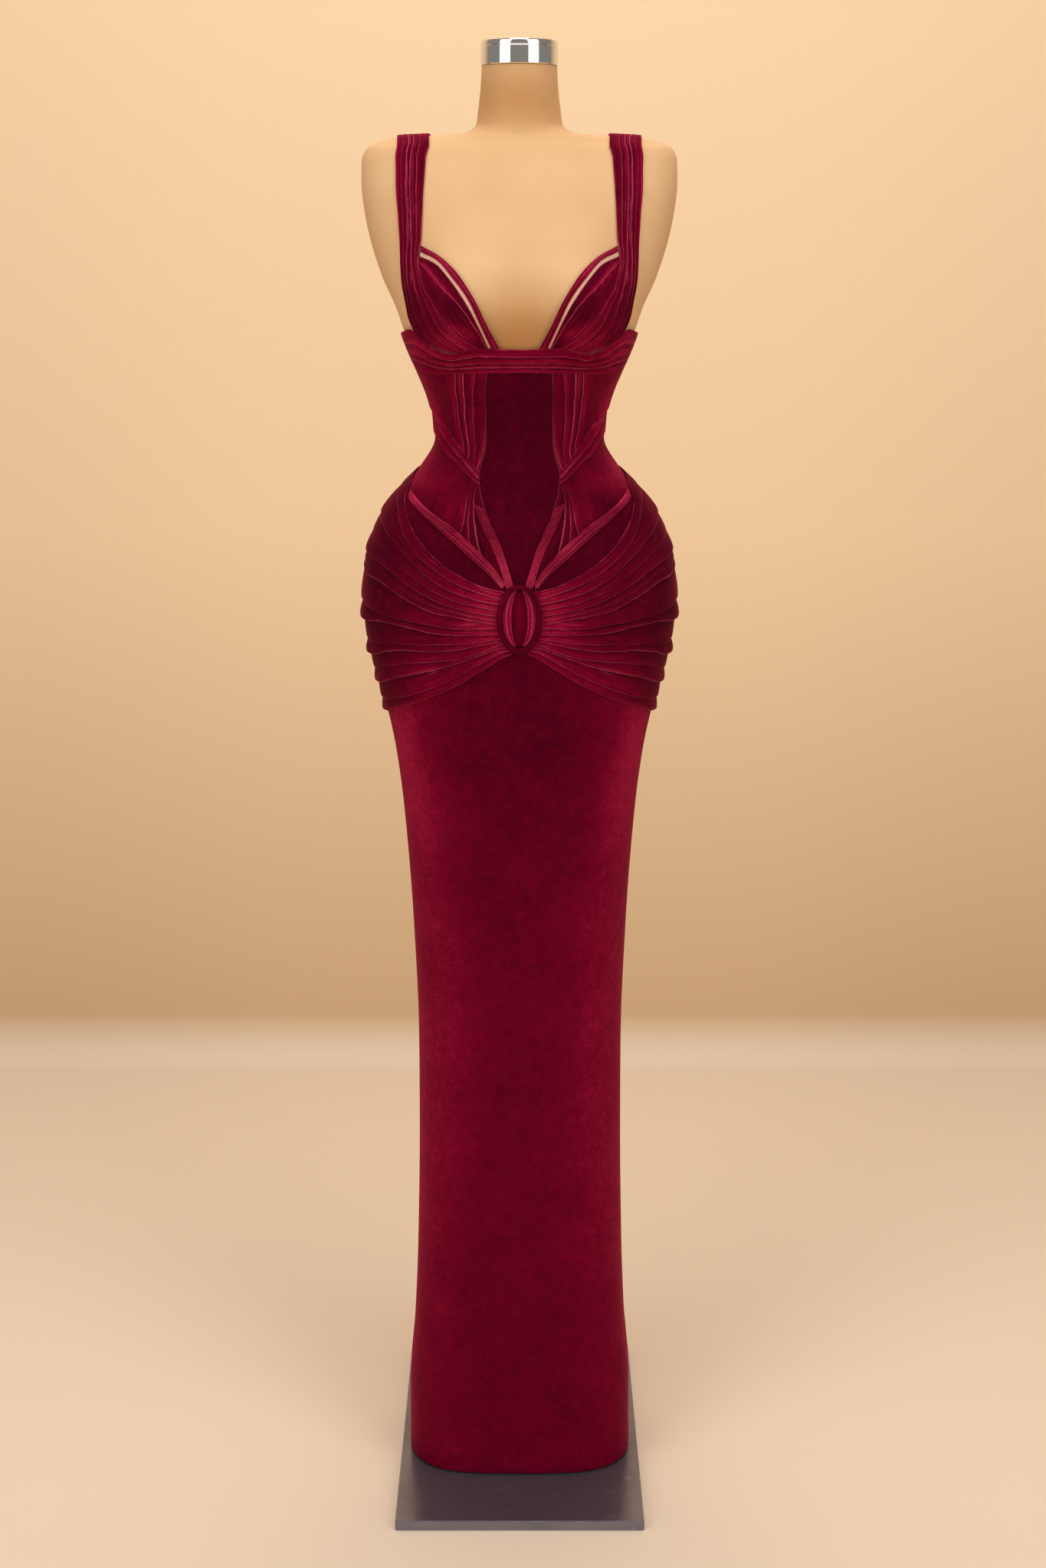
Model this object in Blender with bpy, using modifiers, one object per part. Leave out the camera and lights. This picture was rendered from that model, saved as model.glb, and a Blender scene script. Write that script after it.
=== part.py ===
"""A fitted velvet evening dress on a limbless dress form with a steel base plate.

The figure is a stack of rounded sections. A place on it is given by its turn, in degrees
round from the centre front towards the side, and its height above the floor. Every cloth
piece is a grid of such places held a little off the figure and given a cloth's thickness.
The front looks along -Y, and the pieces named left are on the wearer's left, at +X.
"""
from collections import namedtuple
from math import pi, radians

import bmesh
import bpy
import numpy as np

# Heights and lengths in metres, turns in degrees
PLATE = (0.300, 0.420, 0.013)
PLATE_BEVEL = 0.0012
POLE_RADIUS = 0.016
POLE_FOOT_RADIUS = 0.045
POLE_FOOT_HEIGHT = 0.009
FORM_BOTTOM = 0.930
FORM_TOP = 1.6875
FORM_EASE = -0.0015
FORM_SHOWS_FROM = 1.500
FORM_SHOWN_EASE = -0.0004
FORM_BLEND = 0.030
FORM_STEP = 15.0
# Lowest and highest height of each span of even rings, and their number
FORM_SPANS = ((0.930, 1.200, 5), (1.200, 1.370, 6), (1.370, 1.460, 5), (1.460, 1.590, 5))
FORM_SHOULDER = (1.590, 1.600, 1.6070, 1.6110, 1.6131, 1.6141, 1.6152, 1.6175, 1.6215, 1.6290, 1.6420,
                 1.6600)
CAP_RADIUS = 0.0426
CAP_HEIGHT = 0.0262
CAP_EDGE = 0.0025
SEAM = 0.0004
CLOTH = 0.0014
LINING_EASE = 0.0016
LAYER_EASE = 0.0009
OVER = LINING_EASE + CLOTH + LAYER_EASE
HIP_SEAM = 1.075
SIDE_SEAM = 90.0
BACK_SEAM = 180.0
# Turns of the upright columns that the back pieces share, so that each lies evenly on the next
BACK_COLUMNS = (90, 101, 113, 125, 137, 149, 161, 172, 180)
BACK_ROWS = 18

# Section of the figure: squareness 2 is an ellipse, and more is squarer
Section = namedtuple("Section", "height half_width front back squareness")
SECTIONS = (
    Section(0.020, 0.1370, 0.1095, 0.1100, 3.60),
    Section(0.110, 0.1360, 0.107, 0.109, 3.50),
    Section(0.190, 0.1295, 0.103, 0.106, 3.20),
    Section(0.300, 0.1247, 0.099, 0.103, 2.80),
    Section(0.450, 0.1217, 0.096, 0.099, 2.50),
    Section(0.560, 0.1211, 0.095, 0.098, 2.30),
    Section(0.700, 0.1252, 0.094, 0.099, 2.30),
    Section(0.850, 0.1347, 0.096, 0.105, 2.30),
    Section(0.925, 0.1437, 0.098, 0.111, 2.30),
    Section(1.000, 0.1595, 0.100, 0.119, 2.30),
    Section(1.050, 0.1710, 0.101, 0.124, 2.30),
    Section(1.100, 0.1770, 0.100, 0.125, 2.30),
    Section(1.145, 0.1735, 0.097, 0.121, 2.30),
    Section(1.180, 0.1635, 0.093, 0.114, 2.30),
    Section(1.216, 0.1420, 0.088, 0.101, 2.30),
    Section(1.250, 0.1120, 0.082, 0.086, 2.25),
    Section(1.286, 0.0935, 0.077, 0.073, 2.20),
    Section(1.320, 0.0975, 0.079, 0.071, 2.20),
    Section(1.355, 0.1115, 0.086, 0.074, 2.25),
    Section(1.389, 0.1260, 0.094, 0.080, 2.30),
    Section(1.431, 0.1405, 0.100, 0.088, 2.30),
    Section(1.465, 0.1555, 0.098, 0.092, 2.30),
    Section(1.498, 0.1650, 0.090, 0.094, 2.30),
    Section(1.531, 0.1720, 0.080, 0.092, 2.30),
    Section(1.564, 0.1755, 0.069, 0.085, 2.30),
    Section(1.588, 0.1747, 0.060, 0.076, 2.30),
    Section(1.600, 0.1700, 0.055, 0.069, 2.30),
    Section(1.6085, 0.1560, 0.050, 0.063, 2.20),
    Section(1.6131, 0.1340, 0.0475, 0.0590, 2.10),
    Section(1.6149, 0.0985, 0.0462, 0.0560, 2.05),
    Section(1.6185, 0.0600, 0.0452, 0.0525, 2.00),
    Section(1.6270, 0.0480, 0.0440, 0.0485, 2.00),
    Section(1.640, 0.0460, 0.0430, 0.0455, 2.00),
    Section(1.665, 0.0430, 0.0415, 0.0415, 2.00),
    Section(1.700, 0.0410, 0.0410, 0.0410, 2.00),
)
# The rounding of each cup's place on the chest
Bust = namedtuple("Bust", "across height radius rise")
BUST = Bust(0.066, 1.432, 0.046, 0.022)

# Edges that run round the figure: turn, height
Mark = namedtuple("Mark", "turn height")
BAND_TOP = (Mark(0, 1.3890), Mark(7.5, 1.3898), Mark(18.5, 1.3910), Mark(26, 1.3880), Mark(34, 1.3845),
            Mark(42, 1.3880), Mark(49, 1.3940), Mark(57, 1.4060), Mark(62, 1.4090), Mark(75, 1.4055),
            Mark(90, 1.4030))
BAND_BOTTOM = (Mark(0, 1.3640), Mark(31, 1.3630), Mark(56, 1.3610), Mark(70, 1.3640), Mark(90, 1.3720))
BACK_TOP = (Mark(90, 1.4030), Mark(120, 1.4045), Mark(180, 1.4120))
WRAP_TOP = (Mark(15, 1.2490), Mark(22, 1.2550), Mark(36, 1.2730), Mark(49, 1.2903), Mark(57, 1.3052),
            Mark(66, 1.3380), Mark(90, 1.3520))
WRAP_FOLD = (Mark(15, 1.2430), Mark(20, 1.2467), Mark(35, 1.2645), Mark(49, 1.2775), Mark(64, 1.2930),
             Mark(71, 1.3100), Mark(90, 1.3240))
WRAP_BOTTOM = (Mark(15, 1.2375), Mark(18.5, 1.2400), Mark(28.5, 1.2507), Mark(40, 1.2624),
               Mark(54, 1.2715), Mark(73, 1.2860), Mark(90, 1.2960))
# Edge of the plain tongue in the centre front: turn, height
TONGUE = (Mark(4.0, 1.0750), Mark(4.0, 1.1320), Mark(4.6, 1.1510), Mark(7.0, 1.1750), Mark(11.0, 1.2010),
          Mark(12.5, 1.2140), Mark(17.0, 1.2340), Mark(21.0, 1.2550), Mark(20.2, 1.2990),
          Mark(19.0, 1.3300), Mark(15.0, 1.3640))

# A sewn tuck in the side front: its turn at the band and at the waist wrap, and its rise
Tuck = namedtuple("Tuck", "top foot rise")
TUCKS = (Tuck(18.5, 23.0, 0.0010), Tuck(23.0, 27.5, 0.0007), Tuck(29.0, 31.5, 0.0012),
         Tuck(35.0, 36.5, 0.0012))
TUCK_WIDTH = 1.2
# Places of the upright columns of the front panels, as shares from the tongue to the side seam
TUCK_FREE_SHARES = (0.36, 0.46, 0.54, 0.62, 0.70, 0.80, 0.90, 1.0)
WRAP_SHARES = (0.0, 0.02, 0.084, 0.155, 0.234) + TUCK_FREE_SHARES
YOKE_SHARES = (0.0, 0.084, 0.155, 0.234, 0.36, 0.49, 0.62, 0.75, 0.88, 1.0)
TUCK_ORIGIN = 20.0
SKIRT_LEVELS = (0.0145, 0.130, 0.260, 0.420, 0.600, 0.760, 0.870, 0.940, 1.005, 1.075)
TONGUE_LEVELS = (1.0750, 1.1035, 1.1320, 1.1510, 1.1630, 1.1750, 1.1880, 1.2010, 1.2140, 1.2240, 1.2340,
                 1.2410)
TONGUE_UPPER_LEVELS = (1.2480, 1.2550, 1.2770, 1.2990, 1.3145, 1.3300, 1.3470, 1.3640)

# Lines of the neckline, from the strap down to the band, at six even stations
Line = namedtuple("Line", "turns heights")
CUP_SEAM = Line((39.5, 39.5, 36.5, 32.0, 26.5, 18.5), (1.4780, 1.4560, 1.4350, 1.4180, 1.4035, 1.3912))
CUP_TOP = Line((38.3, 31.0, 25.6, 21.2, 17.2, 12.6), (1.4860, 1.4780, 1.4620, 1.4420, 1.4195, 1.3908))
MESH_TOP = Line((37.4, 30.0, 24.0, 19.5, 15.6, 11.4), (1.4910, 1.4820, 1.4630, 1.4440, 1.4185, 1.3908))
NECK_EDGE = Line((36.9, 28.4, 21.6, 16.8, 12.3, 7.5), (1.4975, 1.4858, 1.4678, 1.4440, 1.4150, 1.3900))

# A strap from the back neckline over the shoulder and down the front, at its two edges
StrapStep = namedtuple("StrapStep", "outer_turn outer_height inner_turn inner_height")
STRAP = (
    StrapStep(118, 1.4060, 143, 1.4090),
    StrapStep(120, 1.4480, 144, 1.4480),
    StrapStep(124, 1.4920, 145.5, 1.4920),
    StrapStep(128, 1.5360, 147, 1.5360),
    StrapStep(131, 1.5780, 148, 1.5780),
    StrapStep(131, 1.6010, 148, 1.6010),
    StrapStep(120, 1.60992, 135, 1.61283),
    StrapStep(105, 1.61257, 112, 1.61450),
    StrapStep(90, 1.61310, 90, 1.61490),
    StrapStep(75, 1.61257, 68, 1.61450),
    StrapStep(60, 1.60992, 45, 1.61283),
    StrapStep(49, 1.6010, 32, 1.6010),
    StrapStep(47, 1.5720, 32.5, 1.5700),
    StrapStep(47, 1.5380, 34, 1.5370),
    StrapStep(48, 1.5100, 36, 1.5080),
    StrapStep(51.5, 1.4740, CUP_SEAM.turns[0], CUP_SEAM.heights[0]),
    StrapStep(55.5, 1.4470, CUP_SEAM.turns[1], CUP_SEAM.heights[1]),
    StrapStep(59, 1.4220, CUP_SEAM.turns[2], CUP_SEAM.heights[2]),
    StrapStep(57, 1.4070, CUP_SEAM.turns[3], CUP_SEAM.heights[3]),
    StrapStep(49, 1.3945, CUP_SEAM.turns[4], CUP_SEAM.heights[4]),
    StrapStep(34, 1.3850, CUP_SEAM.turns[5], CUP_SEAM.heights[5]),
)
STRAP_OFF_SHOULDER = (13, 17)
# Stations between which the strap lies over the shoulder, and the shoulder's lowest and highest places
STRAP_SHOULDER = (5, 11)
SHOULDER_HEIGHTS = (1.590, 1.640)
STRAP_EASE = 0.0009
STRAP_CREASES = (0.24, 0.46, 0.66)
STRAP_CURVED = ((4, 11), (15, 20))
STRAP_RISE = 0.0016
BAND_CREASES = (0.32, 0.62)
BAND_RISE = 0.0017
WRAP_CREASES = (0.5,)
WRAP_RISE = 0.0017
CUP_CREASES = (0.62,)
CUP_RISE = 0.0010
MESH = 0.0010
EDGE_SHARE = 0.06

# The fan of the hip drape: one crease per row, its height at each turn in DRAPE_TURNS
DRAPE_TURNS = (5, 20, 45, 75, 120, 180)
Crease = namedtuple("Crease", "ring front fore_side side back_side back")
DRAPE = (
    Crease(1.124, 1.142, 1.189, 1.239, 1.250, 1.246),
    Crease(1.115, 1.131, 1.176, 1.224, 1.235, 1.232),
    Crease(1.109, 1.120, 1.160, 1.192, 1.205, 1.206),
    Crease(1.096, 1.104, 1.130, 1.152, 1.163, 1.168),
    Crease(1.087, 1.094, 1.114, 1.133, 1.143, 1.148),
    Crease(1.082, 1.083, 1.087, 1.097, 1.105, 1.112),
    Crease(1.070, 1.064, 1.062, 1.055, 1.058, 1.066),
    Crease(1.063, 1.047, 1.037, 1.023, 1.020, 1.027),
    Crease(1.059, 1.040, 1.023, 1.007, 1.002, 1.008),
    Crease(1.055, 1.030, 1.006, 0.989, 0.984, 0.989),
    Crease(1.048, 1.019, 0.992, 0.973, 0.968, 0.971),
)
DRAPE_RISE = 0.0036
DRAPE_SLACK = 0.30
DRAPE_CREST = 0.62
DRAPE_FLAT_TO = 14.0
DRAPE_FADE = 60.0
DRAPE_LEAST = 0.45
DRAPE_COLUMNS = (5, 9, 14, 21, 29, 38, 47, 57, 68, 79) + BACK_COLUMNS

# Two edges of a narrow band, from its outer end to the ring
BandStep = namedtuple("BandStep", "upper_turn upper_height lower_turn lower_height")
ROLL_BAND = (
    BandStep(64, 1.2285, 61, 1.2215),
    BandStep(50, 1.2190, 47, 1.2095),
    BandStep(34.5, 1.2042, 33, 1.1935),
    BandStep(24.5, 1.1925, 24.5, 1.1800),
    BandStep(12.3, 1.1664, 14.5, 1.1580),
    BandStep(6.4, 1.1460, 8.0, 1.1400),
    BandStep(3.8, 1.1330, 5.0, 1.1290),
)
ROLL_RISE = 0.0020
V_STRAP_RISE = 0.0008
V_STRAP = (
    BandStep(12.3, 1.2140, 18.0, 1.2200),
    BandStep(10.0, 1.2010, 14.5, 1.2050),
    BandStep(7.0, 1.1860, 11.0, 1.1880),
    BandStep(4.8, 1.1710, 7.5, 1.1690),
    BandStep(3.0, 1.1520, 5.0, 1.1480),
    BandStep(1.3, 1.1310, 3.4, 1.1290),
)

# The oval ring on the centre front, as half sizes to the middle of its tube
RING_HEIGHT = 1.0930
RING_HALF_WIDTH = 0.0226
RING_HALF_HEIGHT = 0.0358
RING_TUBE = 0.0031
RING_OFF = OVER + CLOTH + 0.0006 + RING_TUBE
KNOT_HALF_WIDTH = 0.0088
KNOT_RISE = 0.0026
GATHER_RISE = 0.0016
INSIDE_HALF_WIDTH = 0.0190
INSIDE_HALF_HEIGHT = 0.0318
INSIDE_REACH = 0.93

# The closed zip in the centre back
ZIP_TAPE_HALF_TURN = 1.2
ZIP_TAPE = 0.0008
ZIP_TAPE_EASE = 0.0
SLIDER = (0.0050, 0.0020, 0.0080)
SLIDER_TOP = 1.4075
SLIDER_GAP = 0.0004
BAIL = (0.0012, 0.0029, 0.0042)
BAIL_WIRE = 0.0008
PULL = (0.0044, 0.0010, 0.0200)
PULL_ARM = 0.0008
PULL_EYE_HEIGHT = 0.0029
PULL_OFF_FACE = 0.00105
PULL_BELOW_TOP = 0.0022
SIDES = (("left", 1.0), ("right", -1.0))

# Colour, roughness and metallic value of each finish
Finish = namedtuple("Finish", "colour roughness metallic")
FINISHES = {
    "velvet": Finish((0.155, 0.004, 0.022), 0.85, 0.0),
    "mesh": Finish((0.62, 0.36, 0.29), 0.70, 0.0),
    "form_cover": Finish((0.80, 0.56, 0.32), 0.45, 0.0),
    "chrome": Finish((0.80, 0.80, 0.80), 0.08, 1.0),
    "steel": Finish((0.45, 0.45, 0.46), 0.22, 1.0),
    "zip_metal": Finish((0.25, 0.03, 0.05), 0.35, 0.6),
}


def smooth(places, values):
    """Return a smooth function through the given values that never overshoots them."""
    x = np.asarray(places, float)
    y = np.asarray(values, float)
    step = np.diff(x)
    rise = np.diff(y) / step
    slope = np.zeros_like(y)
    slope[0], slope[-1] = rise[0], rise[-1]
    for i in range(1, len(x) - 1):
        if rise[i - 1] * rise[i] > 0:
            before = 2 * step[i] + step[i - 1]
            after = step[i] + 2 * step[i - 1]
            slope[i] = (before + after) / (before / rise[i - 1] + after / rise[i])

    def value(at):
        at = np.clip(np.asarray(at, float), x[0], x[-1])
        i = np.clip(np.searchsorted(x, at, side="right") - 1, 0, len(step) - 1)
        t = (at - x[i]) / step[i]
        keep = (1 + 2 * t) * (1 - t) ** 2 * y[i] + t * t * (3 - 2 * t) * y[i + 1]
        return keep + step[i] * t * (1 - t) * ((1 - t) * slope[i] - t * slope[i + 1])

    return value


def round_edge(marks):
    """Return the height of an edge as a function of the turn."""
    return smooth([m.turn for m in marks], [m.height for m in marks])


def upright_edge(marks):
    """Return the turn of an edge as a function of the height."""
    return smooth([m.height for m in marks], [m.turn for m in marks])


half_width_at = smooth([s.height for s in SECTIONS], [s.half_width for s in SECTIONS])
front_at = smooth([s.height for s in SECTIONS], [s.front for s in SECTIONS])
back_at = smooth([s.height for s in SECTIONS], [s.back for s in SECTIONS])
squareness_at = smooth([s.height for s in SECTIONS], [s.squareness for s in SECTIONS])
band_top = round_edge(BAND_TOP)
band_bottom = round_edge(BAND_BOTTOM)
back_top = round_edge(BACK_TOP)
wrap_top = round_edge(WRAP_TOP)
wrap_fold = round_edge(WRAP_FOLD)
wrap_bottom = round_edge(WRAP_BOTTOM)
tongue = upright_edge(TONGUE)


def figure(turn, height):
    """Return points of the bare figure."""
    angle = np.radians(turn)
    s, c = np.sin(angle), np.cos(angle)
    power = 2 / squareness_at(height)
    depth = np.where(c >= 0, front_at(height), back_at(height))
    x = half_width_at(height) * np.sign(s) * np.abs(s) ** power
    y = -depth * np.sign(c) * np.abs(c) ** power
    away = ((np.abs(x) - BUST.across) ** 2 + (height - BUST.height) ** 2) / BUST.radius ** 2
    y = y - BUST.rise * np.exp(-away) * np.sqrt(np.clip(c, 0, 1))
    return np.stack([x, y, height + 0 * x], -1)


def held_off(turn, height, off):
    """Return points moved out from the figure by off, square to its surface."""
    turn, height, off = np.broadcast_arrays(*(np.asarray(v, float) for v in (turn, height, off)))
    small_turn, small_height = 0.02, 0.0001
    round_way = figure(turn + small_turn, height) - figure(turn - small_turn, height)
    up_way = figure(turn, height + small_height) - figure(turn, height - small_height)
    out = np.cross(round_way, up_way)
    out /= np.linalg.norm(out, axis=-1, keepdims=True)
    return figure(turn, height) + off[..., None] * out


def wall_grid(turn, height, ease, thickness=CLOTH):
    """Return the middle of a wall whose inner face lies at ease off the figure."""
    return trimmed(held_off(turn, height, ease + 0.5 * thickness))


def trimmed(points):
    """Draw the edges of a grid in by half a seam's gap."""
    points = points.copy()
    edges = ((points[-1], points[-2]), (points[0], points[1]),
             (points[:, 0], points[:, 1]), (points[:, -1], points[:, -2]))
    for edge, inner in edges:
        way = inner - edge
        edge += 0.5 * SEAM * way / np.linalg.norm(way, axis=-1, keepdims=True)
    return points


def new_material(name):
    """Return the Principled material of a named finish."""
    if name in bpy.data.materials:
        return bpy.data.materials[name]
    finish = FINISHES[name]
    material = bpy.data.materials.new(name)
    material.use_nodes = True
    shader = material.node_tree.nodes["Principled BSDF"]
    shader.inputs["Base Color"].default_value = (*finish.colour, 1.0)
    shader.inputs["Roughness"].default_value = finish.roughness
    shader.inputs["Metallic"].default_value = finish.metallic
    material.diffuse_color = (*finish.colour, 1.0)
    return material


def add_object(name, mesh, finish):
    """Put a mesh into the dress's collection under its name and finish."""
    piece = bpy.data.objects.new(name, mesh)
    dress.objects.link(piece)
    mesh.name = name
    mesh.materials.append(new_material(finish))
    mesh.shade_smooth()
    return piece


def grid_mesh(name, points):
    """Return an open mesh over a grid of points, rows going up and columns to +turn."""
    rows, columns = points.shape[:2]
    faces = []
    for r in range(rows - 1):
        for c in range(columns - 1):
            low = r * columns + c
            faces.append((low, low + 1, low + columns + 1, low + columns))
    mesh = bpy.data.meshes.new(name)
    mesh.from_pydata(points.reshape(-1, 3).tolist(), [], faces)
    return mesh


def cloth(name, points, side=1.0, finish="velvet", thickness=CLOTH):
    """Make a wall of cloth about a grid of its middle's points, on the side given by its sign."""
    if side < 0:
        points = points[:, ::-1] * np.array([-1.0, 1.0, 1.0])
    piece = add_object(name, grid_mesh(name, points), finish)
    wall = piece.modifiers.new("wall", "SOLIDIFY")
    wall.thickness = thickness
    wall.offset = 0.0
    return piece


def fold_places(creases, edge=EDGE_SHARE):
    """Return places across a folded piece, and the share of its rise at each.

    The piece lies flat for a share of its width at both edges, where it is sewn down.
    """
    bounds = [edge, *creases, 1 - edge]
    places, shares = [0.0] if edge else [], [0.0] if edge else []
    for low, high in zip(bounds, bounds[1:]):
        places += [low, 0.5 * (low + high)]
        shares += [0.0, 1.0]
    places += [1 - edge, 1.0] if edge else [1.0]
    shares += [0.0, 0.0] if edge else [0.0]
    return np.array(places), np.array(shares)


def lengthwise(columns, at, across):
    """Return turns and heights between two lines, each a column of turns and one of heights."""
    stations = np.arange(len(columns[0]))
    lines = [smooth(stations, values)(at)[:, None] for values in columns]
    across = np.asarray(across)[None, :]
    turn = lines[0] + (lines[2] - lines[0]) * across
    height = lines[1] + (lines[3] - lines[1]) * across
    return turn, height


def shoulder_height(turn, reach):
    """Return the height on the shoulder of places with a turn and a distance out from the middle."""
    low, high = (level + 0 * reach for level in SHOULDER_HEIGHTS)
    for _ in range(30):
        middle = 0.5 * (low + high)
        outside = figure(turn, middle)[..., 0] > reach
        low, high = np.where(outside, middle, low), np.where(outside, high, middle)
    return low


def above_band(turn, height):
    """Keep places of the cups and straps above the under-bust band, or the back's top edge."""
    edge = np.where(turn <= SIDE_SEAM, band_top(turn), back_top(turn))
    return np.maximum(height, edge)


def make_skirt():
    """Make the skirt's front and back, from the hem to the seam under the drape."""
    heights = np.array(SKIRT_LEVELS)[:, None]
    half = np.array(BACK_COLUMNS)
    back = np.concatenate([half, 2 * BACK_SEAM - half[-2::-1]])[None, :]
    cloth("skirt_front", wall_grid(back - BACK_SEAM, heights, LINING_EASE))
    cloth("skirt_back", wall_grid(back, heights, LINING_EASE))


def make_centre_front():
    """Make the plain tongue that runs from the band down behind the ring."""
    levels = np.array(TONGUE_LEVELS + TONGUE_UPPER_LEVELS)[:, None]
    across = np.linspace(-1, 1, 5)[None, :]
    turn = tongue(levels) * across
    drop = (BAND_BOTTOM[0].height - band_bottom(np.abs(turn))) * (levels > TONGUE_UPPER_LEVELS[-2])
    cloth("centre_front", wall_grid(turn, levels - drop, LINING_EASE))


def panel_places(bottom, top, up, shares):
    """Return turns and heights of a panel between the tongue and the side seam."""
    up = np.asarray(up)[:, None]
    share = np.asarray(shares)[None, :]
    turn = SIDE_SEAM * share + 0 * up
    for _ in range(5):
        height = bottom(turn) + (top(turn) - bottom(turn)) * up
        edge = tongue(height[:, :1])
        turn = edge + (SIDE_SEAM - edge) * share
    return turn, height


def tuck_rise(turn, height):
    """Return how far the side front stands out at its sewn tucks."""
    up = np.clip((height - wrap_top(turn)) / (band_bottom(turn) - wrap_top(turn)), 0, 1)
    rise = np.zeros_like(turn)
    for tuck in TUCKS:
        ridge = tuck.foot + (tuck.top - tuck.foot) * up
        rise += tuck.rise * np.clip(1 - np.abs(turn - ridge) / TUCK_WIDTH, 0, 1)
    return rise * np.clip(8 * up, 0, 1) * np.clip(8 * (1 - up), 0, 1)


def make_side_front(label, side):
    """Make the tucked panel beside the tongue, between the band and the waist wrap."""
    ridges = [0.5 * (tuck.top + tuck.foot) for tuck in TUCKS]
    feet = [ridge + TUCK_WIDTH for ridge in ridges]
    at_tucks = [(turn - TUCK_ORIGIN) / (SIDE_SEAM - TUCK_ORIGIN) for turn in ridges + feet]
    levels = np.array(TONGUE_UPPER_LEVELS[1:])
    up = (levels - levels[0]) / (levels[-1] - levels[0])
    shares = [0.0, *sorted(at_tucks), *TUCK_FREE_SHARES]
    turn, height = panel_places(lambda t: wrap_top(t) + SEAM, band_bottom, up, shares)
    cloth(f"side_front_{label}", wall_grid(turn, height, LINING_EASE + tuck_rise(turn, height)), side)


def make_hip_yoke(label, side):
    """Make the plain panel between the waist wrap and the seam under the drape."""
    levels = np.array(TONGUE_LEVELS)
    up = (levels - HIP_SEAM) / (levels[-1] - HIP_SEAM)
    turn, height = panel_places(lambda t: HIP_SEAM + 0 * t, lambda t: wrap_bottom(t) - SEAM, up,
                                YOKE_SHARES)
    cloth(f"hip_yoke_{label}", wall_grid(turn, height, LINING_EASE), side)


def make_waist_wrap(label, side):
    """Make the two soft folds that cross from the side seam down to the tongue."""
    share = np.array(WRAP_SHARES)[None, :]
    places, crests = fold_places(WRAP_CREASES)
    up = places[:, None]
    middle = WRAP_CREASES[0]
    turn = SIDE_SEAM * share + 0 * up
    for _ in range(5):
        low, fold, high = wrap_bottom(turn), wrap_fold(turn), wrap_top(turn)
        lower = low + (fold - low) * up / middle
        upper = fold + (high - fold) * (up - middle) / (1 - middle)
        height = np.where(up <= middle, lower, upper)
        edge = tongue(height[:, :1])
        turn = edge + (SIDE_SEAM - edge) * share
    ends = np.clip(6 * share, 0, 1) * np.clip(8 * (1 - share), 0, 1)
    ease = LINING_EASE + WRAP_RISE * crests[:, None] * ends
    cloth(f"waist_wrap_{label}", wall_grid(turn, height, ease), side)


def back_heights(turn, row):
    """Return the heights of the back panels' rows at the given turns."""
    return HIP_SEAM + (back_top(turn) - HIP_SEAM) * row / (BACK_ROWS - 1)


def make_back(label, side):
    """Make the plain back bodice from the neckline to the seam under the drape."""
    turn = np.array(BACK_COLUMNS)[None, :]
    height = back_heights(turn, np.arange(BACK_ROWS)[:, None])
    cloth(f"back_{label}", wall_grid(turn, height, LINING_EASE), side)


def make_bust_band():
    """Make the tucked band under the cups, from side seam to side seam."""
    places, crests = fold_places(BAND_CREASES)
    turn = np.linspace(-SIDE_SEAM, SIDE_SEAM, 27)[None, :]
    low, high = band_bottom(np.abs(turn)), band_top(np.abs(turn))
    height = low + (high - low) * places[:, None]
    cloth("bust_band", wall_grid(turn, height, LINING_EASE + BAND_RISE * crests[:, None]))


def make_cup(label, side):
    """Make a cup, its mesh insert and the edging above it."""
    plain = (np.array([0.0, 1.0]), np.array([0.0, 0.0]))
    ribbons = (
        ("cup", CUP_SEAM, CUP_TOP, fold_places(CUP_CREASES), "velvet", CLOTH, CUP_RISE),
        ("mesh", CUP_TOP, MESH_TOP, plain, "mesh", MESH, 0.0),
        ("neck_edging", MESH_TOP, NECK_EDGE, (np.linspace(0, 1, 3), np.zeros(3)), "velvet", CLOTH, 0.0),
    )
    at = np.linspace(0, len(CUP_SEAM.turns) - 1, 11)
    ends = np.clip(2 * at, 0, 1) * np.clip(2 * (at[-1] - at), 0, 1)
    for name, low, high, (across, crests), finish, thickness, rise in ribbons:
        turn, height = lengthwise((low.turns, low.heights, high.turns, high.heights), at, across)
        ease = LINING_EASE + rise * ends[:, None] * crests[None, :]
        points = wall_grid(turn, above_band(turn, height), ease, thickness)
        cloth(f"{name}_{label}", points[:, ::-1], side, finish, thickness)


def make_strap(label, side):
    """Make a pleated strap, from the back neckline round under the cup."""
    across, crests = fold_places(STRAP_CREASES)
    columns = [[getattr(step, field) for step in STRAP] for field in StrapStep._fields]
    halves = [np.arange(low, high) + 0.5 for low, high in STRAP_CURVED]
    at = np.sort(np.concatenate([np.arange(len(STRAP)), *halves]))
    turn, height = lengthwise(columns, at, across)
    outer, inner = (figure(*np.array(columns[i:i + 2]))[:, 0] for i in (0, 2))
    reach = lengthwise((outer, outer, inner, inner), at, across)[0]
    over = (at > STRAP_SHOULDER[0]) & (at < STRAP_SHOULDER[1])
    height[over] = shoulder_height(turn[over], reach[over])
    station = at[:, None]
    start, full = STRAP_OFF_SHOULDER
    on_cloth = np.clip((station - start) / (full - start), 0, 1) + np.clip(1 - station, 0, 1)
    ease = STRAP_EASE + (LINING_EASE - STRAP_EASE) * on_cloth
    ends = np.clip(station, 0, 1) * np.clip(len(STRAP) - 1 - station, 0, 1)
    points = wall_grid(turn, above_band(turn, height), ease + STRAP_RISE * crests[None, :] * ends)
    cloth(f"strap_{label}", points[:, ::-1], side)


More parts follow.
